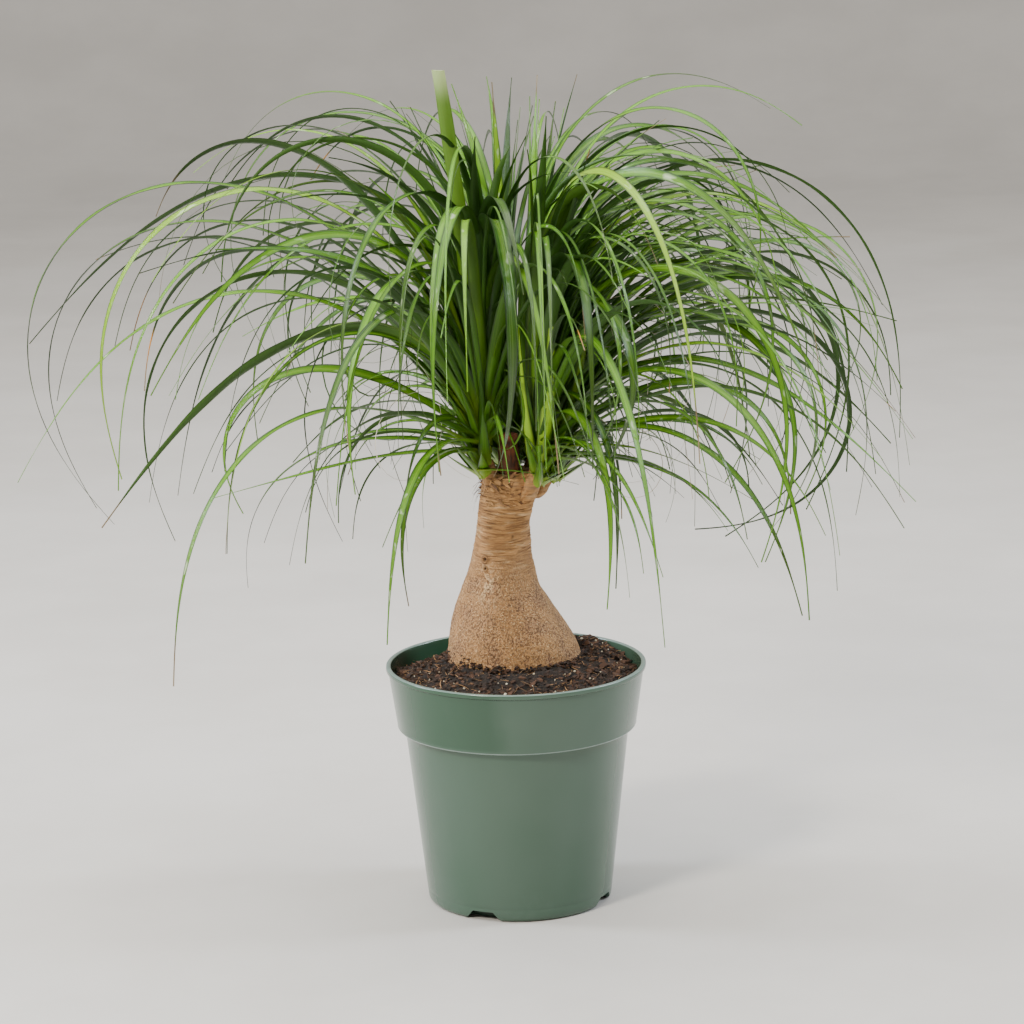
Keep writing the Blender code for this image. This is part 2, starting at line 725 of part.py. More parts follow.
def head_leaves(head):
    """Every leaf of a head: the ones given, then the drawn ones, each in the freest of a few places."""
    draw = random.Random(head["seed"])
    x, y, foot = head["place"]
    first, last = head["range"]
    values = list(head["leaves"]) + [drawn_leaf(draw, head, n) for n in range(head["drawn"])]
    leaves, taken = [], []
    for azimuth, rise, turn, length, width, middle in values:
        stands = min(1, max(0, rise / 90))
        out = head["core"] * (ROOT_OUT - ROOT_DRAWN_IN * stands)
        is_drawn = (azimuth, rise, turn, length, width, middle) not in head["leaves"]
        shift = DRAWN_SHIFT if is_drawn else GIVEN_SHIFT
        lowest = draw.uniform(*LOWEST_DRAWN_TIP) if is_drawn else LOWEST_TIP
        freest = None
        rolls = BLUNT_ROLL_SHARE if turn < BLUNT_TURN else 1
        for _ in range(LEAF_TRIES):
            turned = azimuth + draw.uniform(-shift, shift)
            turned = max(turned, first + draw.uniform(0, EDGE_SHIFT))
            turned = min(turned, last - draw.uniform(0, EDGE_SHIFT))
            heading = math.radians(turned)
            sunk = draw.uniform(-ROOT_SHIFT, ROOT_SHIFT)
            root = (
                x + (out + sunk * ROOT_SLANT) * math.cos(heading),
                y + (out - sunk * ROOT_SLANT) * math.sin(heading),
                foot + ROOT_HEIGHT + ROOT_RISE * stands + sunk,
            )
            leaf = settled({
                "azimuth": turned, "rise": rise, "turn": turn, "length": length, "width": width,
                "middle": middle, "root": root, "blunt": turn < BLUNT_TURN, "drawn": is_drawn,
                "lowest": lowest, "swing": draw.uniform(-MOST_SWING, MOST_SWING),
                "roll": draw.uniform(-MOST_ROLL, MOST_ROLL) * rolls,
                "twist": draw.uniform(-MOST_TWIST, MOST_TWIST) * rolls,
            }, head)
            if leaf:
                marks = marks_of(leaf)
                found = clash(marks, taken), len(leaves), leaf, marks
                freest = found if freest is None or found[0] < freest[0] else freest
        if freest:
            leaves.append(freest[2])
            taken.append(freest[3])
    return leaves


def blade_places(leaf, line):
    """Rows of a leaf's line that carry a ring, with one at its top and one at its furthest reach."""
    segments = min(MOST_SEGMENTS, max(LEAST_SEGMENTS, math.ceil(leaf["turn"] / SEGMENT_TURN)))
    places = [round(FINE_STEPS * (k / segments) ** 0.8) for k in range(segments + 1)]
    reach = np.linalg.norm((line - line[0])[:, :2], axis=1)
    for mark in (int(np.argmax(line[:, 2])), int(np.argmax(reach))):
        nearest = min(range(1, segments), key=lambda k: abs(places[k] - mark))
        if places[nearest - 1] < mark < places[nearest + 1]:
            places[nearest] = mark
    return np.array(places)


def blade(leaf):
    """A leaf as a three-sided blade: a flat face and a keel under it, closed to a point or cut off."""
    line = leaf_line(leaf)
    places = blade_places(leaf, line)
    u = places / FINE_STEPS
    half = leaf_width(leaf, u)[:, None] / 2
    side, face = leaf_faces(leaf, u)
    middle = line[places]
    keel = middle - face * np.maximum(LEAST_KEEL, 2 * half * KEEL_SHARE)
    rings = [list(ring) for ring in zip(middle + side * half, keel, middle - side * half)]
    leaning = leaf["roll"] > 0
    if leaf["blunt"]:
        return lofted(rings, leaning=leaning)
    return lofted(rings[:-1], top=line[-1], leaning=leaning)


def make_crown(name, head, finish):
    """A head of leaves joined to the smaller core that they grow from."""
    x, y, foot = head["place"]
    foot += GAP
    core = []
    for share, swell in CORE_RINGS:
        radius = head["core"] * swell
        core.append(level_ring(x, y, foot + CORE_HEIGHT * share, radius, radius, CORE_SIDES))
    crown = add_object(name, *lofted(core, top=(x, y, foot + CORE_HEIGHT)), finish)
    blades = bpy.data.collections.new(name + "_blades")
    bpy.context.scene.collection.children.link(blades)
    for number, leaf in enumerate(head_leaves(head)):
        add_object(f"{name}_blade_{number:02d}", *blade(leaf), finish, blades)
    boolean(crown, blades, "UNION", "MANIFOLD")
    remove_all(blades)
    keep_main_body(crown)
    smooth(crown)
    return crown


def main():
    clear_scene()
    make_pot()
    make_soil()
    make_trunk()
    finish = material("leaf", "crown")
    for name, head in HEADS.items():
        make_crown(name, head, finish)


main()
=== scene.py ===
import itertools
import math
import random

import bpy
import numpy as np
from mathutils import Matrix, Vector


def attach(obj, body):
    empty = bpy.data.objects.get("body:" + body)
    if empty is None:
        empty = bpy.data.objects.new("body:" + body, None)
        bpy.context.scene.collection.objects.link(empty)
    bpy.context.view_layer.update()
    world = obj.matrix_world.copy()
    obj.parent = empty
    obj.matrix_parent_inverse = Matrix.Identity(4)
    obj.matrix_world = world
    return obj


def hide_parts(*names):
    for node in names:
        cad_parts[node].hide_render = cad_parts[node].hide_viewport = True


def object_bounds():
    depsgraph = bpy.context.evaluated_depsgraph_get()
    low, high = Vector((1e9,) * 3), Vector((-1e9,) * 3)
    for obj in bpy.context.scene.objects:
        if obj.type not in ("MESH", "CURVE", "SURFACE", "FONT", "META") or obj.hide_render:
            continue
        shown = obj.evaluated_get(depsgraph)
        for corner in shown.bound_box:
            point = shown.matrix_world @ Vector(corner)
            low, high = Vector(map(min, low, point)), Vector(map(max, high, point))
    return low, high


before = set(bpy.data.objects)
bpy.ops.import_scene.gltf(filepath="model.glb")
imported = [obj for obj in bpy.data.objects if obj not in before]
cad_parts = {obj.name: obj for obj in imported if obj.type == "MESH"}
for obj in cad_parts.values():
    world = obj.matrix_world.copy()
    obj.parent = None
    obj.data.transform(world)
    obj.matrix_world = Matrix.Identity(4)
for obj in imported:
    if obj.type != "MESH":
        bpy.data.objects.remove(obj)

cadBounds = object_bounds()

# Looks of a potted ponytail palm: pot, soil, trunk and five heads of strap leaves.
# Everything is in metres in the frame's own axes. The viewer stands at -Y.


class Wire:  # one socket of a material: sums on it add Math nodes, and node() adds any other node
    def __init__(self, tree, socket=None):
        self.tree = tree
        self.socket = socket

    def node(self, kind, settings, sockets, out=0):
        made = self.tree.nodes.new(kind)
        for name, value in settings.items():
            setattr(made, name, value)
        for name, value in sockets.items():
            if isinstance(value, Wire):
                self.tree.links.new(value.socket, made.inputs[name])
            else:
                made.inputs[name].default_value = value
        return Wire(self.tree, made.outputs[out])

    def math(self, operation, *values):
        return self.node("ShaderNodeMath", {"operation": operation}, dict(enumerate(values)))

    def __add__(self, other):
        return self.math("ADD", self, other)

    def __sub__(self, other):
        return self.math("SUBTRACT", self, other)

    def __rsub__(self, other):
        return self.math("SUBTRACT", other, self)

    def __mul__(self, other):
        return self.math("MULTIPLY", self, other)

    __radd__ = __add__
    __rmul__ = __mul__

    def size(self):
        return self.math("ABSOLUTE", self)

    def between(self, low, high):  # 0 below low, 1 above high, eased between them
        return self.node(
            "ShaderNodeMapRange", {"interpolation_type": "SMOOTHSTEP"},
            {"Value": self, "From Min": low, "From Max": high})

    def mixed(self, first, second):  # two values, mixed by this share
        return first * (1 - self) + second * self

    def blend(self, first, second):  # two colours, mixed by this share
        return self.node(
            "ShaderNodeMix", {"data_type": "RGBA"}, {0: self, 6: first, 7: second}, 2)

    def noise(self, scale, detail=3, rough=0.5):  # noise at this place, 0 to 1
        return self.node(
            "ShaderNodeTexNoise", {}, {"Vector": self, "Scale": scale, "Detail": detail, "Roughness": rough})

    def stretched(self, x, y, z):  # this place, scaled along each axis
        return self.node(
            "ShaderNodeVectorMath", {"operation": "MULTIPLY"}, {0: self, 1: (x, y, z)})

    def attribute(self, name):
        return self.node("ShaderNodeAttribute", {"attribute_name": name}, {}, 2)

    def place(self):
        return self.node("ShaderNodeTexCoord", {}, {}, "Object")

    def part(self, axis):
        return self.node("ShaderNodeSeparateXYZ", {}, {0: self}, axis)

    def join(self, x, y, z):
        return self.node("ShaderNodeCombineXYZ", {}, {0: x, 1: y, 2: z})

    def bump(self, height, depth, strength=1):
        return self.node("ShaderNodeBump", {}, {"Height": height, "Distance": depth, "Strength": strength})


def newMaterial(name):  # a material, its shader node and a first wire in its tree
    made = bpy.data.materials.new(name)
    made.use_nodes = True
    return made, made.node_tree.nodes["Principled BSDF"], Wire(made.node_tree)


def feed(shader, values):  # links or sets sockets of the shader
    for name, value in values.items():
        if isinstance(value, Wire):
            value.tree.links.new(value.socket, shader.inputs[name])
        else:
            shader.inputs[name].default_value = value


def newPiece(name, points, faces, material, attributes=None, sharp=50):
    mesh = bpy.data.meshes.new(name)
    mesh.from_pydata(np.asarray(points).tolist(), [], faces)
    mesh.materials.append(material)
    for key, values in (attributes or {}).items():
        layer = mesh.attributes.new(key, "FLOAT", "POINT")
        layer.data.foreach_set("value", np.asarray(values, np.float32))
    mesh.shade_smooth()
    mesh.set_sharp_from_angle(angle=math.radians(sharp))
    piece = bpy.data.objects.new(name, mesh)
    addToScene(piece)
    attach(piece, "root")
    return piece


def tubeFaces(rows, sides, footCap=True, topCap=True, first=0):  # quads between rings of points
    row, side = np.meshgrid(np.arange(rows - 1), np.arange(sides), indexing="ij")
    here = first + row * sides + side
    beside = first + row * sides + (side + 1) % sides
    faces = np.stack([here, beside, beside + sides, here + sides], axis=-1).reshape(-1, 4).tolist()
    if footCap:
        faces.append([first + side for side in reversed(range(sides))])
    if topCap:
        faces.append([first + (rows - 1) * sides + side for side in range(sides)])
    return faces


def joinedPiece(name, parts, sides, material, paints=None, sharp=50):  # many small tubes in one piece
    sizes = [len(part) for part in parts]
    faces = []
    for size, first in zip(sizes, itertools.accumulate([0] + sizes)):
        faces += tubeFaces(size // sides, sides, first=first)
    paints = {key: np.repeat(values, sizes) for key, values in (paints or {}).items()}
    return newPiece(name, np.concatenate(parts), faces, material, paints, sharp)


def addToScene(thing):
    bpy.context.scene.collection.objects.link(thing)


def turnsRound(count):  # even steps round a circle, in radians
    return np.linspace(0, 2 * math.pi, count, endpoint=False)


def ringPoints(turns, radius, z, x=0, y=0):
    return np.stack([x + radius * np.cos(turns), y + radius * np.sin(turns), 0 * turns + z], axis=1)


def compass(turn):  # level directions outwards and along, at this angle round an upright axis
    return np.array((math.cos(turn), math.sin(turn), 0)), np.array((-math.sin(turn), math.cos(turn), 0))


def lumps(points, size, seed):  # a smooth random field, -1 to 1, with lumps of this size
    cells = 24
    table = np.random.default_rng(seed).uniform(-1, 1, (cells, cells, cells))
    place = points / size
    cell = np.floor(place).astype(int)
    share = place - cell
    share = share * share * (3 - 2 * share)
    total = np.zeros(len(points))
    for corner in itertools.product((0, 1), repeat=3):
        index = (cell + corner) % cells
        weight = np.where(np.array(corner, bool), share, 1 - share).prod(axis=1)
        total += weight * table[index[:, 0], index[:, 1], index[:, 2]]
    return total


# Pot

pot = {
    "height": 0.237, "rimRadius": 0.127, "lipHeight": 0.0042, "lipDepth": 0.0022,
    "bandHeight": 0.062, "bandFootRadius": 0.1167, "bodyTopRadius": 0.1096,
    "footRadius": 0.0905, "footRound": 0.005, "floor": 0.003, "wall": 0.0026,
    "lipRound": 0.0012, "lipUnder": 0.0010, "bandRound": 0.0026, "floorRound": 0.004,
    "sides": 144, "sharpFrom": 32, "ringLine": 0.0125, "ringDepth": 0.00018, "ringHalf": 0.0009,
    "notchAngles": (-114, -24, 66, 156), "notchWidth": 0.038, "notchTopWidth": 0.021,
    "notchHeight": 0.0095, "notchDepth": 0.016,
    "green": (0.054, 0.100, 0.070, 1), "softGreen": (0.044, 0.092, 0.060, 1),
    # the deep green and its share paint a reflection on the band's left third
    "paintedReflectionGreen": (0.016, 0.062, 0.030, 1), "dust": (0.100, 0.150, 0.125, 1),
    # the edge colour is partly wear and partly a painted highlight on the rim and the band's foot
    "edge": (0.300, 0.400, 0.370, 1), "paintedReflectionShare": 0.80,
}


def potPlastic():
    material, shader, wire = newMaterial("potPlastic")
    place = wire.place()
    cloud = place.noise(9, 2).between(0.35, 0.7)
    grain = place.stretched(1, 1, 0.15).noise(160, 2)
    dusty = place.noise(40, 4, 0.6).between(0.50, 0.85)
    z = place.part("Z")
    low = 1 - z.between(0.0, 0.05)
    side = place.part("X") * 9 + place.noise(14, 2) * 0.4 - 0.2
    colour = cloud.blend(pot["green"], pot["softGreen"])
    # painted reflection: a deeper green patch on the left third of the band
    bandReflection = z.between(0.176, 0.180) * (1 - side.between(-0.28, -0.06)) * side.between(-1.12, -0.95)
    colour = (bandReflection * pot["paintedReflectionShare"]).blend(colour, pot["paintedReflectionGreen"])
    colour = (dusty * (low * 0.20 + 0.03)).blend(colour, pot["dust"])
    # pale rim top and band foot edge: partly wear, partly a painted highlight
    worn = z.between(0.2359, 0.2367) + z.between(0.1752, 0.1757) * (1 - z.between(0.1764, 0.1772))
    colour = (worn * (0.55 + dusty * 0.3)).blend(colour, pot["edge"])
    feed(shader, {
        "Base Color": colour,
        "Roughness": 0.20 + grain * 0.06 + dusty * 0.05,
        "Normal": wire.bump(place.noise(700, 2) * 0.5 + grain * 0.6, 0.00004),
        "Coat Weight": 0.20,
        "Coat Roughness": 0.12,
    })
    return material


def potWallRadius(height):  # inner wall
    stepFoot = pot["height"] - pot["bandHeight"] + 0.0010
    heights = (0, stepFoot, stepFoot + 0.0045, pot["height"])
    bandTop = pot["rimRadius"] - pot["lipDepth"]
    radii = (pot["footRadius"], pot["bodyTopRadius"], pot["bandFootRadius"], bandTop)
    return float(np.interp(height, heights, radii)) - pot["wall"]


def roundCorner(middleX, middleZ, radius, first, last, steps):  # points of an arc, in degrees
    turns = np.radians(np.linspace(first, last, steps + 1))
    return [(middleX + radius * math.cos(t), middleZ + radius * math.sin(t)) for t in turns]


def potOutline():  # (radius, height) from the floor's middle up inside, over the lip and down outside
    top, lip, floor = pot["height"], pot["lipHeight"], pot["floor"]
    bandFoot = top - pot["bandHeight"]
    bandTop = pot["rimRadius"] - pot["lipDepth"]
    inside, wallFoot, corner = potWallRadius(top), potWallRadius(floor), pot["floorRound"]
    soft, under, bandRound = pot["lipRound"], pot["lipUnder"], pot["bandRound"]
    outline = [(0, floor), (wallFoot - 0.006, floor)]
    outline += roundCorner(wallFoot - corner, floor + corner, corner, -90, 0, 4)
    outline += [(potWallRadius(z), z) for z in np.linspace(floor + 0.012, top - 0.004, 40)]
    outline += roundCorner(inside + soft, top - soft, soft, 180, 90, 3)
    outline += roundCorner(pot["rimRadius"] - soft, top - soft, soft, 90, 0, 4)
    outline += roundCorner(pot["rimRadius"] - under, top - lip + 0.0006, under, 0, -80, 3)
    lipFoot, bandLow = top - lip - 0.0012, pot["bandFootRadius"] + 0.0004
    for share in (0, *np.linspace(0.08, 1, 12)):  # down the band
        radius = bandTop + (bandLow - bandTop) * share
        outline.append((radius, lipFoot - (pot["bandHeight"] - lip - 0.0050) * share))
    outline += roundCorner(pot["bandFootRadius"] - 0.0022, bandFoot + bandRound, bandRound, 10, -90, 5)
    outline.append((pot["bodyTopRadius"] + 0.0004, bandFoot - 0.0001))
    outline.append((pot["bodyTopRadius"], bandFoot - 0.0008))
    slope = (pot["bodyTopRadius"] - pot["footRadius"]) / (bandFoot - pot["footRound"])
    ring = pot["ringLine"]
    heights = list(np.linspace(bandFoot - 0.01, ring + 0.004, 16))
    heights += [ring + pot["ringHalf"], ring, ring - pot["ringHalf"], 0.0075]
    for z in heights:
        groove = pot["ringDepth"] if z == ring else 0
        outline.append((pot["footRadius"] + slope * (z - pot["footRound"]) - groove, z))
    foot = pot["footRound"]
    outline += roundCorner(pot["footRadius"] - foot, foot, foot, 0, -90, 5)
    return outline + [(0, 0)]


def notchCutter(material):  # four wedges round the foot
    low, high = pot["notchWidth"] / 2 + 0.002, pot["notchTopWidth"] / 2
    corners = ((low, -0.002), (-low, -0.002), (-high, pot["notchHeight"]), (high, pot["notchHeight"]))
    wedges = []
    for angle in pot["notchAngles"]:
        out, along = compass(math.radians(angle))
        wedges.append([
            out * reach + along * half + np.array((0, 0, z))
            for reach in (pot["footRadius"] + 0.01, pot["footRadius"] - pot["notchDepth"])
            for half, z in corners
        ])
    return joinedPiece("notchCutter", wedges, 4, material)


def makePot():
    material = potPlastic()
    outline = potOutline()
    turns = turnsRound(pot["sides"])
    points = [(0, 0, outline[0][1])]
    for radius, z in outline[1:-1]:
        points += [(radius * math.cos(t), radius * math.sin(t), z) for t in turns]
    points.append((0, 0, outline[-1][1]))
    sides, rings = pot["sides"], len(outline) - 2
    faces = [list(reversed(face)) for face in tubeFaces(rings, sides, False, False, first=1)]
    faces += [[0, 1 + side, 1 + (side + 1) % sides] for side in range(sides)]
    last = 1 + (rings - 1) * sides
    faces += [[len(points) - 1, last + (side + 1) % sides, last + side] for side in range(sides)]
    piece = newPiece("pot_shell", points, faces, material, sharp=pot["sharpFrom"])
    cutter = notchCutter(material)
    cut = piece.modifiers.new("notches", "BOOLEAN")
    cut.operation = "DIFFERENCE"
    cut.object = cutter
    bpy.context.view_layer.update()
    seen = piece.evaluated_get(bpy.context.evaluated_depsgraph_get())
    cutMesh = bpy.data.meshes.new_from_object(seen)
    piece.modifiers.clear()
    piece.data = cutMesh
    bpy.data.objects.remove(cutter)
    cutMesh.shade_smooth()
    cutMesh.set_sharp_from_angle(angle=math.radians(pot["sharpFrom"]))
    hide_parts("pot")
    print("pot:", len(cutMesh.polygons), "faces")


# Trunk

trunk = {
    # height, middle x, half width
    "outline": (
        (0.190, -0.0015, 0.0660), (0.236, -0.0015, 0.0660), (0.250, -0.0025, 0.0635),
        (0.264, -0.0045, 0.0590), (0.284, -0.0085, 0.0500), (0.311, -0.0130, 0.0370),
        (0.342, -0.0130, 0.0285), (0.372, -0.0098, 0.0258), (0.393, -0.0060, 0.0260),
        (0.410, -0.0010, 0.0282), (0.419, 0.0010, 0.0300), (0.424, 0.0012, 0.0275),
    ),
    "middleY": 0.020, "depthShare": 0.86, "sides": 220, "rows": 400,
    "buriedTo": 0.228, "seenFrom": 0.230, "buriedRows": 8,
    "neckFoot": 0.315, "neckEase": 0.035, "neckWander": 0.012, "topFrom": 0.402, "topOver": 0.012,
    "ringGap": 0.0041, "ringDepth": 0.0010, "ringSets": ((1, 4), (1.73, 14), (0.61, 24)),  # gap, seed
    "flatDepth": 0.0004, "pebbleDepth": 0.0005, "raggedDepth": 0.0018, "knotHill": 0.0011, "knotHole": 0.0016,
    "palePatch": (247, 0.30, 0.319, 0.017),  # angle and its spread, height and its spread
    "knots": (  # angle, height, size
        (239, 0.3415, 0.0034), (241, 0.3325, 0.0026), (292, 0.3630, 0.0015), (60, 0.3500, 0.0024),
    ),
    "stumpPlace": (-0.003, 0.010), "stumpRadius": 0.0098, "stumpTop": 0.462, "stubFoot": 0.398,
    "stubSides": 60, "stubRough": 0.0015, "stumpSides": 32, "stumpRough": 0.0009, "stumpFlare": 1.15,
    "easeReach": 0.0045, "roundFrom": 0.24, "roundOver": 0.1, "reliefFrom": 0.232, "crownFrom": 0.4205,
    "tan": (0.560, 0.296, 0.105, 1), "midTan": (0.400, 0.198, 0.070, 1),
    "greyTan": (0.320, 0.176, 0.092, 1), "lightTan": (0.780, 0.520, 0.270, 1),
    "brown": (0.130, 0.060, 0.026, 1), "darkBrown": (0.050, 0.022, 0.011, 1),
    "redBrown": (0.150, 0.042, 0.012, 1), "cutWood": (0.340, 0.100, 0.040, 1),
}


def barkFinish():
    material, shader, wire = newMaterial("paleBark")
    place = wire.place()
    groove, knot, tall = wire.attribute("groove"), wire.attribute("knot"), wire.attribute("neck")
    crown = (place.part("Z") + place.noise(120, 3) * 0.012).between(0.402, 0.420)
    broad = place.noise(16, 3).between(0.35, 0.65)
    patches = place.stretched(1, 1, 0.7).noise(60, 4, 0.6)
    pits = place.stretched(1, 1, 0.8).noise(640, 2, 0.6)
    flecks = place.stretched(1, 1, 0.9).noise(780, 1, 0.5)
    lines = place.stretched(0.10, 0.10, 1).noise(560, 3, 0.6)
    wideLines = place.stretched(0.16, 0.16, 1).noise(230, 4, 0.65)
    blocks = place.stretched(1, 1, 0.8).noise(190, 1, 0.4)
    bulbDark = pits.between(0.50, 0.40) * (0.65 + patches.between(0.35, 0.62) * 0.6)
    neckDark = lines.between(0.50, 0.36) * 0.55 + wideLines.between(0.47, 0.34) * 0.55
    dark = tall.mixed(bulbDark, neckDark)
    light = tall.mixed(flecks.between(0.54, 0.64) * (1.25 - patches), wideLines.between(0.52, 0.66) * 0.8)
    colour = (broad * 0.6 + patches * 0.3).blend(trunk["tan"], trunk["midTan"])
    colour = ((1 - tall) * (0.25 + patches.between(0.45, 0.65) * 0.5)).blend(colour, trunk["greyTan"])
    colour = (light * 0.8).blend(colour, trunk["lightTan"])
    colour = (wire.attribute("pale") * blocks.between(0.47, 0.53) * 0.75).blend(colour, trunk["lightTan"])
    colour = (dark * 0.72).blend(colour, trunk["brown"])
    colour = (groove * 0.62).blend(colour, trunk["brown"])
    colour = (crown * (0.08 + wideLines.between(0.40, 0.65) * 0.5)).blend(colour, trunk["brown"])
    spots = (knot + crown * patches.between(0.58, 0.74) * 0.4).between(0, 1)
    colour = spots.blend(colour, trunk["darkBrown"])
    feed(shader, {
        "Base Color": colour,
        "Roughness": 0.66 + pits * 0.25,
        "Normal": wire.bump(light * 0.5 - dark * 0.8 + patches * 0.4, 0.0012),
    })
    return material


def stumpFinish():
    material, shader, wire = newMaterial("cutStump")
    place = wire.place()
    rough = place.stretched(1, 1, 0.35).noise(240, 4, 0.6)
    top = place.part("Z").between(0.455, 0.462)
    colour = rough.between(0.35, 0.65).blend(trunk["redBrown"], trunk["darkBrown"])
    colour = (top * rough.between(0.4, 0.6)).blend(colour, trunk["cutWood"])
    feed(shader, {
        "Base Color": colour, "Roughness": 0.75 + rough * 0.2, "Normal": wire.bump(rough, 0.0020),
    })
    return material


def trunkSection(heights):  # middle x and half width at each height, with the outline's corners eased
    rows = np.array(trunk["outline"])
    fine = np.arange(-14, 15) * 0.0006
    weight = np.exp(-(fine / trunk["easeReach"]) ** 2)
    weight /= weight.sum()
    ask = heights[:, None] + fine[None, :]
    middle = (np.interp(ask, rows[:, 0], rows[:, 1]) * weight).sum(axis=1)
    half = (np.interp(ask, rows[:, 0], rows[:, 2]) * weight).sum(axis=1)
    return middle, half


def barkRelief(points, turn, height):  # how far the bark stands out, in metres, and its paints
    neck = height - trunk["neckFoot"] - trunk["neckWander"] * lumps(points, 0.03, 3)
    neck = np.clip(neck / trunk["neckEase"], 0, 1)
    top = np.clip((height - trunk["topFrom"]) / trunk["topOver"], 0, 1)
    broad = 0.0011 * np.sin(3 * turn + 40 * height) + 0.0008 * np.sin(5 * turn - 70 * height)
    groove = 0
    for gap, seed in trunk["ringSets"]:
        wander = height + 0.0018 * np.sin(turn * (1 if gap > 1 else 2) + seed)
        wander = wander + 0.0016 * lumps(points, 0.019, seed)
        phase = (wander / (trunk["ringGap"] * gap)) % 1
        line = np.exp(-((phase - 0.5) / (0.12 / gap)) ** 2)
        groove = groove + line * np.clip(0.25 + 1.1 * lumps(points * (1, 1, 4), 0.014, seed + 1), 0, 1)
    groove = np.clip(groove, 0, 1) * neck
    knot, ridge = 0 * height, 0 * height
    for angle, z, size in trunk["knots"]:
        aside = (turn - math.radians(angle)) * 0.028
        away = np.hypot(aside * 1.35, height - z) / size
        knot = np.maximum(knot, np.exp(-away ** 2 * 2.4))
        knot = np.maximum(knot, 0.55 * np.exp(-((away - 1.25) / 0.22) ** 2))
        hill = trunk["knotHill"] * np.exp(-((away - 0.85) / 0.35) ** 2)
        ridge = ridge + hill - trunk["knotHole"] * np.exp(-away ** 2 * 3)
    flat = lumps(points * (0.4, 0.4, 2.0), 0.006, 7)
    pebbles = lumps(points, 0.0036, 8) * 0.6 + lumps(points, 0.0022, 18) * 0.6
    ragged = lumps(points * (1.4, 1.4, 0.5), 0.006, 9) + 0.6 * lumps(points * (1, 1, 0.6), 0.003, 10)
    relief = (
        broad - trunk["ringDepth"] * groove * (1 - top * 0.5) + neck * trunk["flatDepth"] * flat
        + (1 - neck) * trunk["pebbleDepth"] * pebbles + top * trunk["raggedDepth"] * ragged + ridge
    )
    angle, wide, level, tall = trunk["palePatch"]
    pale = np.exp(-((turn - math.radians(angle)) / wide) ** 2 - ((height - level) / tall) ** 2)
    return relief, {"groove": groove * (1 - top * 0.4), "knot": knot, "neck": neck, "pale": pale}


def makeTrunk(material):
    sides = trunk["sides"]
    low, high = trunk["outline"][0][0], trunk["outline"][-1][0]
    buried = np.linspace(low, trunk["buriedTo"], trunk["buriedRows"])
    heights = np.concatenate([buried, np.linspace(trunk["seenFrom"], high, trunk["rows"])])
    rows = len(heights)
    middle, half = trunkSection(heights)
    rounded = np.clip((heights - trunk["roundFrom"]) / trunk["roundOver"], 0, 1)
    share = trunk["depthShare"] + (1 - trunk["depthShare"]) * rounded
    turns = turnsRound(sides)
    height, turn = np.meshgrid(heights, turns, indexing="ij")
    across, depth = np.cos(turn), np.sin(turn)
    flat = np.stack([
        middle[:, None] + half[:, None] * across,
        trunk["middleY"] + (half * share)[:, None] * depth, height,
    ], axis=-1).reshape(-1, 3)
    relief, paints = barkRelief(flat, turn.ravel(), height.ravel())
    relief *= np.clip((height.ravel() - trunk["reliefFrom"]) / 0.008, 0, 1)
    points = flat + np.stack([across.ravel(), depth.ravel(), 0 * relief], axis=1) * relief[:, None]
    crown = np.clip((height.ravel() - trunk["crownFrom"]) / 0.0035, 0, 1)
    middleTop = np.array((middle[-1], trunk["middleY"], 0))
    points[:, :2] += (middleTop[:2] - points[:, :2]) * (crown ** 2 * 0.12)[:, None]
    piece = newPiece("trunk_bark", points, tubeFaces(rows, sides), material, paints, 80)
    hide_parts("trunk")
    print("trunk:", len(points), "points")


def limb(places, radii, sides, rough, seed):  # points of an upright limb through places
    turns = turnsRound(sides)
    points = np.concatenate([ringPoints(turns, radius, z, x, y) for (x, y, z), radius in zip(places, radii)])
    shift = [lumps(points, 0.006, seed), lumps(points, 0.006, seed + 1)]
    points[:, :2] += rough * np.stack(shift, axis=1)
    return points


def makeStubs(material):  # what carries each head, and the cut stump between them
    points, faces = [], []
    sides, foot, middleY = trunk["stubSides"], trunk["stubFoot"], trunk["middleY"]
    for head in heads.values():
        x, y, top = head["place"]
        places, radii = [], []
        for share in np.linspace(0, 1, 14):
            lean = 0.45 + 0.55 * share ** 0.8
            places.append((x * lean, middleY + (y - middleY) * lean, foot + (top - foot) * share))
            radii.append(head["core"] * (0.74 - 0.16 * share))
        places.append((x, y, top + 0.003))
        radii.append(head["core"] * 0.5)
        faces += tubeFaces(len(places), sides, first=sides * len(places) * len(points))
        points.append(limb(places, radii, sides, trunk["stubRough"], 20))
    points = np.concatenate(points)
    paints = {"neck": np.ones(len(points)), "groove": np.clip(0.9 * lumps(points, 0.004, 31), 0, 1)}
    newPiece("head_stubs", points, faces, material, paints, 80)
    x, y = trunk["stumpPlace"]
    radius, top, sides = trunk["stumpRadius"], trunk["stumpTop"], trunk["stumpSides"]
    places = [(x, y, z) for z in np.linspace(foot, top - 0.003, 12)]
    radii = list(np.linspace(radius * trunk["stumpFlare"], radius, 12))
    places += [(x, y, top - 0.0008), (x + 0.0006, y, top), (x + 0.001, y, top - 0.0012)]
    radii += [radius * 0.96, radius * 0.8, radius * 0.35]
    stump = limb(places, radii, sides, trunk["stumpRough"], 30)
    newPiece("cut_stump", stump, tubeFaces(len(places), sides), stumpFinish(), sharp=60)
    print("stubs and stump made")


def ribbonPoints(line, widths, side, lift):  # four points round each place of a flat strip
    side, lift = np.asarray(side), np.asarray(lift)
    widths = np.asarray(widths)[:, None]
    rings = np.stack([line - side * widths, line - lift, line + side * widths, line + lift], axis=1)
    return rings.reshape(-1, 3)


scales = {  # ranges that each scale is drawn from, and one strip that peels at the right
    "count": 260, "sunk": 0.0006, "thick": 0.0003, "roughness": 0.8,
    "drawn": {
        "turn": (0, 2 * math.pi), "height": (0.396, 0.421), "length": (0.004, 0.012),
        "width": (0.0005, 0.0016), "slant": (0.7, 2.3), "curl": (-0.05, 0.14), "tint": (0, 1),
    },
    "peel": {
        "turn": math.radians(-48), "height": 0.3905, "length": 0.019,
        "width": 0.0024, "slant": -0.3, "curl": 0.75, "tint": 1.1,
    },
}


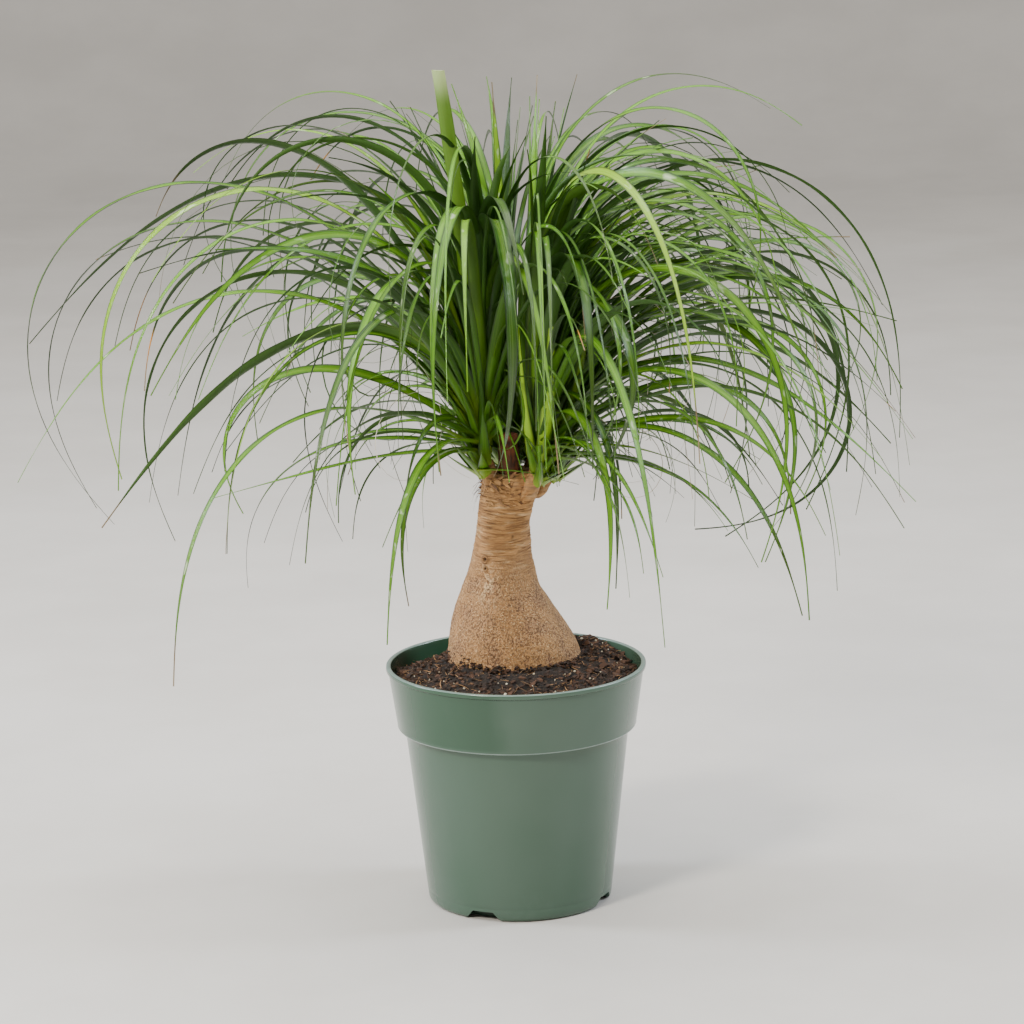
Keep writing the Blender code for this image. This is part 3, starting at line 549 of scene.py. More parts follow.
def trunkSkin(turn, z, sunk):  # a point of the trunk's skin, sunk a little, and its directions
    middle, half = trunkSection(np.array([z]))
    out, level = compass(turn)
    return np.array((middle[0], trunk["middleY"], z)) + out * (half[0] - sunk), out, level


def makeScales():  # torn fibrous scales round the trunk's top
    draw = random.Random(5)
    drawn = scales["drawn"].items()
    shapes = [{key: draw.uniform(*ends) for key, ends in drawn} for _ in range(scales["count"])]
    shapes.append(scales["peel"])
    shares = np.linspace(0, 1, 7)
    strips = []
    for shape in shapes:
        base, out, level = trunkSkin(shape["turn"], shape["height"], scales["sunk"])
        length, slant = shape["length"], shape["slant"]
        along = level * math.sin(slant) + np.array((0, 0, math.cos(slant)))
        line = base + np.outer(shares, along) * length + np.outer(shares ** 2 * shape["curl"] * length, out)
        widths = shape["width"] * np.sin(0.25 + shares * 2.7) + 0.0001
        strips.append(ribbonPoints(line, widths, np.cross(along, out), out * scales["thick"]))
    tints = [shape["tint"] for shape in shapes]
    finish = plainFinish("barkScales", trunk["brown"], trunk["tan"], scales["roughness"])
    joinedPiece("bark_scales", strips, 4, finish, {"tint": tints}, 80)


hairs = {
    "count": 30, "leftTurn": (170, 215), "leftShare": 0.7, "height": (0.405, 0.421), "sunk": 0.001,
    "length": (0.006, 0.020), "fall": (0.3, 1.4), "sway": (-0.5, 0.5), "width": 0.00028, "thick": 0.0002,
    "roughness": 0.8,
}


def makeHairs():  # thin dark fibres that hang from the trunk's top, most of them at the left
    draw = random.Random(9)
    shares = np.linspace(0, 1, 9)
    strips = []
    for _ in range(hairs["count"]):
        atLeft = draw.random() < hairs["leftShare"]
        turn = math.radians(draw.uniform(*hairs["leftTurn"]) if atLeft else draw.uniform(0, 360))
        base, out, side = trunkSkin(turn, draw.uniform(*hairs["height"]), hairs["sunk"])
        length, fall = draw.uniform(*hairs["length"]), draw.uniform(*hairs["fall"])
        sway = np.sin(shares * 2) * draw.uniform(*hairs["sway"]) * length
        line = base + np.outer(shares, out) * length * 0.55 + np.outer(sway, side)
        line[:, 2] -= fall * length * shares ** 1.6
        widths = hairs["width"] * (1 - 0.8 * shares)
        strips.append(ribbonPoints(line, widths, side, np.array((0, 0, hairs["thick"]))))
    finish = plainFinish("trunkFibres", trunk["darkBrown"], trunk["brown"], hairs["roughness"])
    joinedPiece("trunk_fibres", strips, 4, finish)
    print("scales and fibres made")


def plainFinish(name, colour, second, roughness):  # a tinted finish for small loose pieces
    material, shader, wire = newMaterial(name)
    tint = wire.attribute("tint")
    grain = wire.place().noise(500, 4, 0.6)
    feed(shader, {
        "Base Color": (tint * 0.75 + grain * 0.5 - 0.12).between(0, 1).blend(colour, second),
        "Roughness": roughness + grain * 0.1,
        "Normal": wire.bump(grain, 0.0004),
    })
    return material


# Soil

soil = {
    "edge": 0.222, "middle": 0.236, "socket": 0.190, "around": 240, "rings": 54,
    "gap": 0.0003, "tuck": 0.001,  # off the pot's wall, and in behind the trunk's bark
    "clods": ((0.0024, 0.013, 11), (0.0017, 0.0062, 12), (0.0013, 0.0034, 13)),  # height, size, seed
    "dark": (0.007, 0.005, 0.004, 1), "damp": (0.019, 0.011, 0.007, 1),
    "crumb": (0.072, 0.042, 0.024, 1), "redChip": (0.098, 0.046, 0.025, 1),
    "paleFibre": (0.480, 0.260, 0.110, 1), "grain": (0.720, 0.640, 0.480, 1),
    "greyGrain": (0.420, 0.340, 0.230, 1),
    "swells": ((0.075, 0.070, 0.011, 0.0011), (-0.080, 0.060, -0.006, 0.0015)),  # place, height, spread
}


def trunkRing(row, turn):  # x and y just inside the bark, at one row of the trunk's outline
    _, middle, half = row
    return np.stack([
        middle + (half - soil["tuck"]) * np.cos(turn),
        trunk["middleY"] + (half * trunk["depthShare"] - soil["tuck"]) * np.sin(turn),
    ], axis=-1)


def clodHeight(points, kinds):  # how far the clods of these kinds lift the soil
    return sum(lift * lumps(points, size, seed) for lift, size, seed in kinds)


def soilHeight(x, y, share):  # 0 at the pot's wall, 1 at the trunk
    mounds = sum(
        lift * np.exp(-((x - atX) ** 2 + (y - atY) ** 2) / spread)
        for atX, atY, lift, spread in soil["swells"]
    )
    ripple = 0.0013 * np.sin(x * 190 + 2 * np.sin(y * 120)) * np.sin(y * 170 + 1.3)
    rise = soil["edge"] + (soil["middle"] - soil["edge"]) * np.sin(share * math.pi / 2)
    free = np.sin(np.minimum(1, 4 * (share + 0.12) * (1.12 - share)) * math.pi / 2)  # less at both edges
    return rise + (mounds + ripple) * free


def soilPlace(share, turn):  # a point of the soil's top, between the pot's wall and the trunk
    edge = potWallRadius(soil["edge"])
    outer = np.stack([edge * np.cos(turn), edge * np.sin(turn)], axis=-1)
    inner = trunkRing(trunk["outline"][1], turn)
    flat = outer + (inner - outer) * np.asarray(share)[..., None]
    return flat, soilHeight(flat[..., 0], flat[..., 1], share)


def soilFinish():
    material, shader, wire = newMaterial("pottingMix")
    place = wire.place()
    crumbs = place.noise(330, 5, 0.65)
    broad = place.noise(60, 3)
    colour = broad.between(0.35, 0.65).blend(soil["dark"], soil["damp"])
    colour = (crumbs.between(0.52, 0.68) * 0.8).blend(colour, soil["crumb"])
    colour = (place.noise(210, 3, 0.7).between(0.66, 0.74) * 0.7).blend(colour, soil["paleFibre"])
    feed(shader, {"Base Color": colour, "Roughness": 0.9, "Normal": wire.bump(crumbs + broad, 0.0022)})
    return material


def makeSoil():
    around, rings = soil["around"], soil["rings"]
    turns = turnsRound(around)
    gap, bevel = soil["gap"], 0.014
    floor = pot["floor"] + gap
    low = potWallRadius(floor + bevel) - gap
    step = pot["height"] - pot["bandHeight"] + 0.0013  # where the pot widens into its band
    walls = [
        (low - bevel, floor), (low, floor + bevel),
        (potWallRadius(step - gap) - gap, step), (potWallRadius(step + 0.0042) - gap, step + 0.0045),
    ]
    points = [ringPoints(turns, radius, z) for radius, z in walls]
    share, turn = np.meshgrid(np.linspace(0, 1, rings), turns, indexing="ij")
    flat, height = soilPlace(share, turn)
    top = np.stack([flat[..., 0], flat[..., 1], height], axis=-1).reshape(-1, 3)
    calm = 0.45 + 0.55 * np.clip(share.ravel() / 0.06, 0, 1)  # lower clods at the pot's wall
    top[:, 2] += clodHeight(top, soil["clods"]) * calm
    limit = np.array([potWallRadius(z) - gap for z in top[:, 2]])
    pull = np.where(share.ravel() == 0, limit / np.hypot(top[:, 0], top[:, 1]), 1)
    top[:, :2] *= pull[:, None]
    socket = np.column_stack([trunkRing(trunk["outline"][0], turns), 0 * turns + soil["socket"]])
    points = np.concatenate([*points, top, socket])
    faces = tubeFaces(len(points) // around, around)
    piece = newPiece("soil_bed", points, faces, soilFinish(), sharp=80)
    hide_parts("soil")
    print("soil:", len(points), "points")


def soilTop(draw, lowShare=0.03, highShare=0.97, turn=None):  # a random place on the soil
    share = 1 - math.sqrt(draw.uniform((1 - highShare) ** 2, (1 - lowShare) ** 2))
    turn = draw.uniform(0, 2 * math.pi) if turn is None else turn
    flat, height = soilPlace(np.array([share]), np.array([turn]))
    point = np.array([[flat[0, 0], flat[0, 1], height[0]]])
    return point[0] + np.array((0, 0, clodHeight(point, soil["clods"][:2])[0]))


def turned(draw, tilt):  # a random rotation, tilted by up to this many degrees
    spin = Matrix.Rotation(draw.uniform(0, 2 * math.pi), 3, "Z")
    lean = Matrix.Rotation(math.radians(draw.uniform(-tilt, tilt)), 3, "X")
    nod = Matrix.Rotation(math.radians(draw.uniform(-tilt, tilt)), 3, "Y")
    return np.array(lean @ nod @ spin)


chips = {
    "count": 2600, "large": 40, "atRight": 60, "largeSize": (1.5, 2.2), "crooked": (-0.45, 0.45),
    "sizes": ((0.0008, 0.0034), (0.0006, 0.0019), (0.0005, 0.0012)), "lift": (0, 0.0012), "tilt": 35,
    "rightTurn": (-30, 60), "heapHeight": 0.0055, "heapSize": 0.75, "heapReach": (0, 0.03), "roughness": 0.8,
}


def makeChips():  # bark chips, as crooked little blocks
    draw = random.Random(21)
    corners = np.array([(x, y, z) for z in (-1, 1) for x, y in ((-1, -1), (1, -1), (1, 1), (-1, 1))], float)
    foot = trunk["outline"][1]
    blocks, tints = [], []
    for number in range(chips["count"]):
        large = number < chips["large"]
        atRight = number < chips["atRight"]
        turn = math.radians(draw.uniform(*chips["rightTurn"])) if atRight else None
        size = np.array([draw.uniform(*ends) for ends in chips["sizes"]])
        if large:
            size *= draw.uniform(*chips["largeSize"])
        crooked = np.array([[draw.uniform(*chips["crooked"]) for _ in range(3)] for _ in range(8)])
        shape = corners * size + crooked * size
        place = soilTop(draw, 0.07 if large else 0.03, 0.95, turn)
        lift = draw.uniform(*chips["lift"])
        if number % 4 == 3:  # crumbs heaped against the trunk's foot
            angle = draw.uniform(0, 2 * math.pi)
            leftward = 1 + 1.6 * math.exp(-((angle - 3.6) / 0.5) ** 2)
            lift = chips["heapHeight"] * draw.random() ** 2 * leftward
            shape *= chips["heapSize"]
            out = foot[2] * (1.004 - lift * 3.2 + draw.uniform(*chips["heapReach"]))
            y = trunk["middleY"] + out * trunk["depthShare"] * math.sin(angle)
            place = np.array((foot[1] + out * math.cos(angle), y, soil["middle"]))
        blocks.append(shape @ turned(draw, chips["tilt"]).T + place + np.array((0, 0, lift)))
        tints.append(draw.random() ** (0.6 if atRight else 2.2))
    finish = plainFinish("barkChips", soil["damp"], soil["redChip"], chips["roughness"])
    joinedPiece("bark_chips", blocks, 4, finish, {"tint": tints}, 30)


fibres = {
    "count": 620, "tilt": 30, "length": (0.004, 0.014), "bow": 0.35,
    "lift": (0.0002, 0.0016), "width": (0.00018, 0.00055), "roughness": 0.75,
}


def makeFibres():  # pale splinters and fibres in the mix
    draw = random.Random(22)
    shares = np.linspace(-0.5, 0.5, 6)
    strips, tints = [], []
    for _ in range(fibres["count"]):
        place = soilTop(draw)
        basis = turned(draw, fibres["tilt"])
        length = draw.uniform(*fibres["length"])
        bow = (0.25 - shares ** 2) * length * fibres["bow"]
        line = place + np.outer(shares * length, basis[0]) + np.outer(bow, basis[1])
        line[:, 2] += draw.uniform(*fibres["lift"])
        width = draw.uniform(*fibres["width"])
        strips.append(ribbonPoints(line, width * (1.2 - 2 * abs(shares)), basis[1], basis[2] * width * 0.5))
        tints.append(draw.random())
    finish = plainFinish("soilFibres", soil["crumb"], soil["paleFibre"], fibres["roughness"])
    joinedPiece("soil_fibres", strips, 4, finish, {"tint": tints})


grains = {
    "count": 120, "small": (0.0005, 0.0012), "large": (0.0014, 0.0022), "largeCount": 9,
    "lift": (0.0002, 0.0012), "bumps": 0.25, "roughness": 0.7,
}


def makeGrains():  # white grains
    draw = random.Random(23)
    sides = 8
    turns = np.arange(sides) * 2 * math.pi / sides
    rise, turn = np.meshgrid(np.linspace(-1.25, 1.25, 5), turns, indexing="ij")
    ball = [np.cos(rise) * np.cos(turn), np.cos(rise) * np.sin(turn), np.sin(rise)]
    ball = np.stack(ball, axis=-1).reshape(-1, 3)
    balls, tints = [], []
    for number in range(grains["count"]):
        size = draw.uniform(*grains["large" if number < grains["largeCount"] else "small"])
        bumpy = ball * size * (1 + grains["bumps"] * lumps(ball + number, 0.7, 24))[:, None]
        balls.append(bumpy + soilTop(draw) + np.array((0, 0, draw.uniform(*grains["lift"]))))
        tints.append(draw.random())
    finish = plainFinish("paleGrains", soil["grain"], soil["greyGrain"], grains["roughness"])
    joinedPiece("pale_grains", balls, sides, finish, {"tint": tints}, 80)
    print("chips, fibres and grains laid")


# Leaves

leaves = {
    "sharpness": 1.5, "steps": 72, "flatRoot": 0.28, "leastWidth": 0.0016, "tries": 24,
    "easeSteps": 40, "swingSteps": 4, "swingEase": 0.4, "ease": 0.96,
    "widths": (0.012, 0.022), "fullness": (1.7, 2.3), "bluntRollShare": 0.1,
    "rootShift": 0.005, "givenShift": 4, "drawnShift": 16, "clashStep": 4, "clashRoom": 0.004,
    "thick": 0.0009, "edgeThick": 0.0004, "channel": 0.20, "wave": 0.0007,
    "deep": (0.028, 0.105, 0.004, 1), "fresh": (0.105, 0.275, 0.008, 1), "yellow": (0.300, 0.460, 0.015, 1),
    # under is painted shade on the leaves' undersides
    "pale": (0.230, 0.360, 0.030, 1), "stripe": (0.210, 0.400, 0.022, 1), "under": (0.014, 0.038, 0.009, 1),
    "brownTip": (0.080, 0.054, 0.024, 1), "dryTip": (0.210, 0.155, 0.080, 1),
    # black is painted shade along the leaves' edges
    "black": (0.006, 0.014, 0.004, 1), "cutTop": (0.420, 0.520, 0.240, 1),
    # the pale glint colour is a painted highlight
    "whip": (0.034, 0.040, 0.012, 1), "paintedGlint": (0.520, 0.600, 0.420, 1),
    "shoot": (0.320, 0.580, 0.015, 1), "orange": (0.620, 0.240, 0.010, 1),
    "bluntTurn": 12, "rootSteps": 7, "rootOut": 0.55, "rootIn": 0.35, "rootLow": 0.012, "rootUp": 0.030,
    "lowest": (0.29, 0.40), "swing": (-16, 16), "roll": (-40, 40), "twist": (-75, 75),
    "headLeast": 0.0013, "rootMost": 0.011, "clasp": 0.9, "claspReach": 0.035,
    "spread": 14, "dryShare": 0.16,
    "fineLeast": 0.0011, "fineTries": 5, "fineLift": 0.04, "fineWidth": (0.45, 0.85),
}

# Ranges of rise, turn, length and width that leaves are drawn from, by age. The turn of the middle
# and old ones starts from their rise, and the rise of the middle ones falls with age.
ages = {
    "young": ((78, 95), (15, 110), (0.22, 0.44), (0.012, 0.017)),
    "middle": ((-9, 9), (35, 125), (0.42, 0.74), (0.010, 0.015)),
    "old": ((5, 45), (60, 110), (0.20, 0.42), (0.009, 0.013)),
    "oldFrom": 0.80, "middleRise": 104, "riseFall": 50, "goldenShare": 0.618034, "halfTurnAt": (0.40, 0.66),
}

wisps = {  # the thinnest leaves: how far they are turned and shortened, and their own widths
    "least": 0.0009, "tries": 2, "lift": 0.05, "turn": (0.9, 1.9), "length": (0.55, 1.0),
    "width": (0.0025, 0.0055), "halfTurnAt": (0.35, 0.75),
}

room = {  # where leaves may go: inside a dome, off the pot and the trunk, and out of the trunk's view
    "top": 0.828, "archTop": 0.802, "left": -0.482, "right": 0.392, "depth": 0.430,
    "domeMiddle": (-0.028, 0.020, 0.500), "domeLeft": 0.455, "domeRight": 0.420,
    "domeDepth": 0.420, "domeHeight": 0.288, "lowestTip": 0.235, "margin": 0.003,
    "pot": 0.148, "overPot": 0.02, "trunk": 0.082, "underHead": 0.02, "side": 0.0015,
    "view": 0.085, "viewFall": 0.218,
}

# Each head: place, core radius, range of azimuths, seed, number of drawn leaves, their young share, and
# given leaves as (azimuth, rise, turn, length, width, share of the length where half the turn is done)
heads = {
    "crown_left": {
        "place": (-0.026, 0.008, 0.434), "core": 0.0155, "range": (150, 284),
        "seed": 15, "drawn": 24, "young": 0.12, "extra": 46, "wisps": 32,
        "given": (
            (186, 66, 196, 0.83, 0.014, 0.58), (172, 94, 142, 0.675, 0.013, 0.40),
            (178, 72, 140, 0.50, 0.021, 0.75), (190, 75, 180, 0.70, 0.013, 0.55),
            (204, 68, 120, 0.50, 0.018, 0.35), (184, 60, 180, 0.73, 0.012, 0.60),
            (180, 57, 135, 0.58, 0.012, 0.62), (175, 65, 140, 0.52, 0.010, 0.62),
            (198, 62, 175, 0.60, 0.014, 0.55), (215, 30, 115, 0.52, 0.012, 0.52),
            (212, 10, 20, 0.28, 0.011, 0.30), (232, 90, 190, 0.47, 0.018, 0.48),
            (242, 100, 200, 0.60, 0.017, 0.52), (246, 79, 8, 0.386, 0.020, 0.50),
            (170, 85, 210, 0.60, 0.012, 0.68), (165, 94, 160, 0.54, 0.010, 0.68),
            (160, 100, 155, 0.45, 0.012, 0.68), (192, 38, 155, 0.37, 0.013, 0.65),
            (180, 70, 150, 0.46, 0.012, 0.58), (178, 70, 145, 0.55, 0.012, 0.60),
            (235, 17, 120, 0.23, 0.010, 0.45), (276, 100, 250, 0.62, 0.026, 0.50),
            (262, 95, 200, 0.60, 0.014, 0.52), (272, 92, 150, 0.44, 0.021, 0.62),
            (282, 90, 70, 0.36, 0.021, 0.60), (266, 84, 40, 0.33, 0.022, 0.60),
            (250, 82, 170, 0.44, 0.019, 0.55),
        ),
    },
    "crown_front": {
        "place": (0.024, -0.012, 0.430), "core": 0.0130, "range": (284, 334),
        "seed": 17, "drawn": 22, "young": 0.20, "extra": 34, "wisps": 14,
        "given": (
            (310, 100, 240, 0.41, 0.018, 0.48), (290, 85, 180, 0.58, 0.010, 0.55),
            (332, 95, 115, 0.42, 0.022, 0.40), (302, 62, 175, 0.31, 0.012, 0.30),
            (325, 80, 190, 0.58, 0.013, 0.46), (308, 105, 240, 0.41, 0.013, 0.50),
            (312, 85, 195, 0.30, 0.012, 0.24), (330, 98, 205, 0.62, 0.012, 0.63),
            (287, 92, 45, 0.34, 0.020, 0.60), (296, 94, 140, 0.44, 0.021, 0.60),
            (288, 86, 190, 0.50, 0.018, 0.55), (320, 88, 60, 0.36, 0.020, 0.60),
        ),
    },
    "crown_right": {
        "place": (0.040, 0.016, 0.428), "core": 0.0135, "range": (334, 390),
        "seed": 33, "drawn": 20, "young": 0.12, "extra": 32, "wisps": 26,
        "given": (
            (360, 96, 134, 0.51, 0.009, 0.66), (361, 96, 178, 0.675, 0.013, 0.43),
            (350, 103, 150, 0.50, 0.013, 0.52), (365, 72, 195, 0.63, 0.011, 0.57),
            (352, 92, 148, 0.52, 0.012, 0.36), (345, 56, 102, 0.42, 0.012, 0.33),
            (340, 72, 185, 0.50, 0.015, 0.46), (337, 3, 66, 0.24, 0.010, 0.54),
            (338, 95, 125, 0.25, 0.011, 0.17), (355, 55, 230, 0.60, 0.011, 0.56),
            (348, 54, 170, 0.44, 0.011, 0.60), (344, 53, 140, 0.45, 0.011, 0.43),
            (358, 68, 170, 0.56, 0.011, 0.50), (366, 97, 160, 0.58, 0.011, 0.50),
            (349, 102, 196, 0.60, 0.012, 0.60), (372, 64, 212, 0.62, 0.010, 0.52),
            (369, 60, 148, 0.50, 0.011, 0.63), (384, 54, 185, 0.55, 0.011, 0.69),
            (347, 57, 187, 0.48, 0.016, 0.56), (352, 93, 145, 0.52, 0.012, 0.49),
            (338, 88, 72, 0.32, 0.018, 0.38), (355, 93, 185, 0.70, 0.012, 0.48),
            (345, 92, 148, 0.52, 0.012, 0.36), (338, 35, 90, 0.41, 0.011, 0.50),
        ),
    },
    "crown_back_right": {
        "place": (0.022, 0.050, 0.436), "core": 0.0120, "range": (30, 76),
        "seed": 41, "drawn": 25, "young": 0.25, "extra": 24, "wisps": 14,
        "given": (
            (35, 98, 130, 0.53, 0.011, 0.60), (72, 92, 20, 0.33, 0.019, 0.60),
            (55, 88, 30, 0.34, 0.018, 0.60),
        ),
    },
    "crown_back_left": {
        "place": (-0.006, 0.056, 0.433), "core": 0.0125, "range": (76, 150),
        "seed": 58, "drawn": 25, "young": 0.25, "extra": 24, "wisps": 14,
        "given": (
            (108, 92, 14, 0.35, 0.019, 0.60), (82, 86, 30, 0.34, 0.021, 0.60),
            (90, 92, 60, 0.36, 0.020, 0.60), (125, 90, 30, 0.34, 0.018, 0.60),
        ),
    },
}


def bendShare(u, middle):  # how much of a leaf's whole turn is done at the share u of its length
    done = (u / middle) ** leaves["sharpness"]
    return done / (done + ((1 - u) / (1 - middle)) ** leaves["sharpness"])


def leafWidth(leaf, u, least):
    root = np.minimum(1, 0.45 + 5 * u)
    if leaf["blunt"]:
        return leaf["width"] * (1 - 0.35 * u) * root
    fullness = np.interp(leaf["width"], leaves["widths"], leaves["fullness"])
    return np.maximum(least, leaf["width"] * (1 - u ** fullness) ** 1.15 * root)


def leafAngles(leaf, u):  # rise and heading, in radians
    rise = np.radians(leaf["rise"] - leaf["turn"] * bendShare(u, leaf["middle"]))
    return rise, np.radians(leaf["azimuth"] + leaf["swing"] * u * u)


def leafLine(leaf):  # points down the middle of a leaf
    steps = leaves["steps"]
    rise, heading = leafAngles(leaf, (np.arange(steps) + 0.5) / steps)
    step = np.stack([np.cos(rise) * np.cos(heading), np.cos(rise) * np.sin(heading), np.sin(rise)], axis=1)
    line = np.concatenate([[[0, 0, 0]], np.cumsum(step, axis=0)]) * leaf["length"] / steps
    return line + leaf["root"]


def leafSides(leaf, u):  # directions across a leaf and out of its upper face
    rise, heading = leafAngles(leaf, u)
    roll = np.radians(leaf["roll"] + leaf["twist"] * u) * np.minimum(1, u / leaves["flatRoot"])
    across = np.stack([np.sin(heading), -np.cos(heading), np.zeros_like(heading)], axis=1)
    above = np.stack([-np.sin(rise) * np.cos(heading), -np.sin(rise) * np.sin(heading), np.cos(rise)], axis=1)
    cos, sin = np.cos(roll)[:, None], np.sin(roll)[:, None]
    return across * cos + above * sin, above * cos - across * sin


def rangeRoom(line, head):  # distance to the nearer of the two upright planes that bound a head
    x, y = line[:, 0], line[:, 1] - trunk["middleY"]
    first, last = (math.radians(angle) for angle in head["range"])
    return np.minimum(y * math.cos(first) - x * math.sin(first), x * math.sin(last) - y * math.cos(last))


def inDome(line):
    x, y, z = (line - room["domeMiddle"]).T
    side = np.where(x < 0, room["domeLeft"], room["domeRight"])
    return (x / side) ** 2 + (y / room["domeDepth"]) ** 2 + (np.maximum(0, z) / room["domeHeight"]) ** 2 < 1


def isClear(leaf, head):  # whether a leaf keeps to its room, off the pot, the soil and the trunk
    line = leafLine(leaf)
    steps = leaves["steps"]
    width = leafWidth(leaf, np.arange(steps + 1) / steps, leaves["leastWidth"])
    if (rangeRoom(line, head) < width / 2 + room["side"]).any():
        return False
    line = line[steps // leaves["rootSteps"]:]
    x, y, z = line.T
    low = head["place"][2] - room["underHead"]
    blocked = [
        z < leaf["lowest"],
        z > (room["top"] if leaf["blunt"] else room["archTop"]),
        (z < pot["height"] + room["overPot"]) & (np.hypot(x, y) < room["pot"]),
        abs(y) > room["depth"],
        (x < room["left"]) | (x > room["right"]),
        (z < low) & (np.hypot(x, y - trunk["middleY"]) < room["trunk"]),
        (z + room["viewFall"] * y < low) & (y < 0) & (abs(x) < room["view"]),
        leaf["drawn"] & ~inDome(line),
    ]
    return not np.any(blocked)


def settled(leaf, head):  # the leaf with its swing, then its turn and length, eased until it is clear
    for attempt in range(leaves["easeSteps"]):
        if isClear(leaf, head):
            return leaf
        if attempt < leaves["swingSteps"]:
            leaf["swing"] *= leaves["swingEase"]
        else:
            leaf["turn" if attempt % 2 else "length"] *= leaves["ease"]
    return None


def drawnLeaf(draw, head, number, count):  # the youngest stand, the middle ones arch and the oldest hang
    first, last = head["range"]
    share = (number * ages["goldenShare"] + draw.uniform(-0.02, 0.02)) % 1
    age = (number + 0.5) / count
    young, old = head["young"], ages["oldFrom"]
    kind = "young" if age < young else "middle" if age < old else "old"
    rises, turns, lengths, widths = ages[kind]
    start = ages["middleRise"] - ages["riseFall"] * (age - young) / (old - young) if kind == "middle" else 0
    rise = start + draw.uniform(*rises)
    turn = draw.uniform(*turns) + (0 if kind == "young" else rise)
    length, width = draw.uniform(*lengths), draw.uniform(*widths)
    return first + (last - first) * share, rise, turn, length, width, draw.uniform(*ages["halfTurnAt"])


def leafMarks(leaf):  # a few places down a leaf, with its half width there
    rows = np.arange(leaves["clashStep"] * 2, leaves["steps"] + 1, leaves["clashStep"])
    width = leafWidth(leaf, rows / leaves["steps"], leaves["leastWidth"])
    return np.column_stack([leafLine(leaf)[rows], width / 2])


def clash(marks, others):  # how far a leaf reaches into the leaves before it
    if not others:
        return 0
    there = np.concatenate(others)
    apart = np.linalg.norm(marks[:, None, :3] - there[None, :, :3], axis=2)
    return np.clip(marks[:, None, 3] + there[None, :, 3] + leaves["clashRoom"] - apart, 0, None).sum()


def growLeaves(draw, head, values, tries, taken, lift=0):  # each leaf in the freest of a few places
    x, y, foot = head["place"]
    first, last = head["range"]
    grown = []
    for (azimuth, rise, turn, length, width, middle), drawn in values:
        stands = min(1, max(0, rise / 90))
        out = head["core"] * (leaves["rootOut"] - leaves["rootIn"] * stands)
        shift = leaves["drawnShift"] if drawn else leaves["givenShift"]
        lowest = draw.uniform(*leaves["lowest"]) + lift if drawn else room["lowestTip"]
        freest, blunt = None, turn < leaves["bluntTurn"]
        rolls = leaves["bluntRollShare"] if blunt else 1
        for _ in range(tries):
            heading = azimuth + draw.uniform(-shift, shift)
            heading = min(max(heading, first + draw.uniform(0, 2)), last - draw.uniform(0, 2))
            sunk = draw.uniform(-leaves["rootShift"], leaves["rootShift"])
            root = (
                x + (out + sunk * 0.2) * math.cos(math.radians(heading)),
                y + (out - sunk * 0.2) * math.sin(math.radians(heading)),
                foot + leaves["rootLow"] + leaves["rootUp"] * stands + sunk,
            )
            leaf = settled({
                "azimuth": heading, "rise": rise, "turn": turn, "length": length, "width": width,
                "middle": middle, "root": root, "blunt": blunt, "drawn": drawn, "lowest": lowest,
                "swing": draw.uniform(*leaves["swing"]), "roll": draw.uniform(*leaves["roll"]) * rolls,
                "twist": draw.uniform(*leaves["twist"]) * rolls,
            }, head)
            if leaf:
                marks = leafMarks(leaf)
                found = clash(marks, taken), len(taken), leaf, marks
                freest = found if freest is None or found[0] < freest[0] else freest
        if freest:
            grown.append(freest[2])
            taken.append(freest[3])
    return grown


def leafFinish():
    material, shader, wire = newMaterial("strapLeaf")
    along, across = wire.attribute("along"), wire.attribute("across")
    tint, dry, under = wire.attribute("tint"), wire.attribute("dry"), wire.attribute("under")
    place = wire.place()
    lines = wire.join(across * 7 + tint * 60, along * 1.6, tint * 31).noise(1, 3, 0.6)
    fineLines = wire.join(across * 22 + tint * 60, along * 2.5, tint * 17).noise(1, 2, 0.5)
    cloud = (place.noise(13, 2) * 0.6 + tint * 0.75 - 0.15).between(0.05, 0.95)
    edge = across.size()
    colour = cloud.blend(leaves["deep"], leaves["fresh"])
    colour = (tint.between(0.86, 1.0) * 0.6).blend(colour, leaves["yellow"])
    colour = (tint.between(1.02, 1.1) * 0.9).blend(colour, leaves["shoot"])
    stripe = (1 - edge.between(0.05, 0.42)) * (1 - along.between(0.35, 0.85)) * (1 - under)
    colour = (stripe * 0.50).blend(colour, leaves["stripe"])
    colour = (lines.between(0.42, 0.70) * 0.35).blend(colour, leaves["stripe"])
    spots = wire.join(along * 26, tint * 90, across * 0.5).noise(1, 2, 0.5)
    whip = along.between(0.50, 0.90) * tint.between(0.46, 0.34)
    colour = (whip * 0.6).blend(colour, leaves["whip"])
    # painted shade: the leaves' edges darkened towards black
    colour = (edge.between(0.55, 1.0) * 0.78).blend(colour, leaves["black"])
    # painted highlight: pale glints on the leaves' upper faces
    colour = (spots.between(0.62, 0.71) * (1 - edge) * (1 - under) * 0.7).blend(colour, leaves["paintedGlint"])
    # painted shade: the undersides darkened, less near the root and not on the young shoots
    shade = (0.22 + along.between(0.10, 0.42) * 0.56) * (1 - tint.between(1.0, 1.08))
    colour = (under * shade).blend(colour, leaves["under"])
    cut = (0 - dry).between(0.4, 0.6) * along.between(0.90, 1.0)
    # painted light: the blunt leaves lightened all over with the stripe colour
    colour = ((0 - dry).between(0.4, 0.6) * 0.3).blend(colour, leaves["stripe"])
    colour = (cut * 0.8).blend(colour, leaves["cutTop"])
    base = 1 - (along + lines * 0.05).between(0.03, 0.15)
    colour = (base * 0.9).blend(colour, leaves["pale"])
    worn = (along * along - 1 + dry * 0.30 + lines * 0.06).between(0.02, 0.09)
    colour = worn.blend(colour, tint.between(0.30, 0.22).blend(leaves["brownTip"], leaves["orange"]))
    colour = (worn * (along + fineLines * 0.1).between(0.93, 1.04)).blend(colour, leaves["dryTip"])
    feed(shader, {
        "Base Color": colour,
        "Roughness": 0.22 + lines * 0.12 + under * 0.16 + worn * 0.25,
        "Normal": wire.bump(lines * 0.5 + fineLines, 0.00022),
        "Coat Weight": 0.08,
        "Coat Roughness": 0.10,
        "IOR": 1.36,
    })
    return material


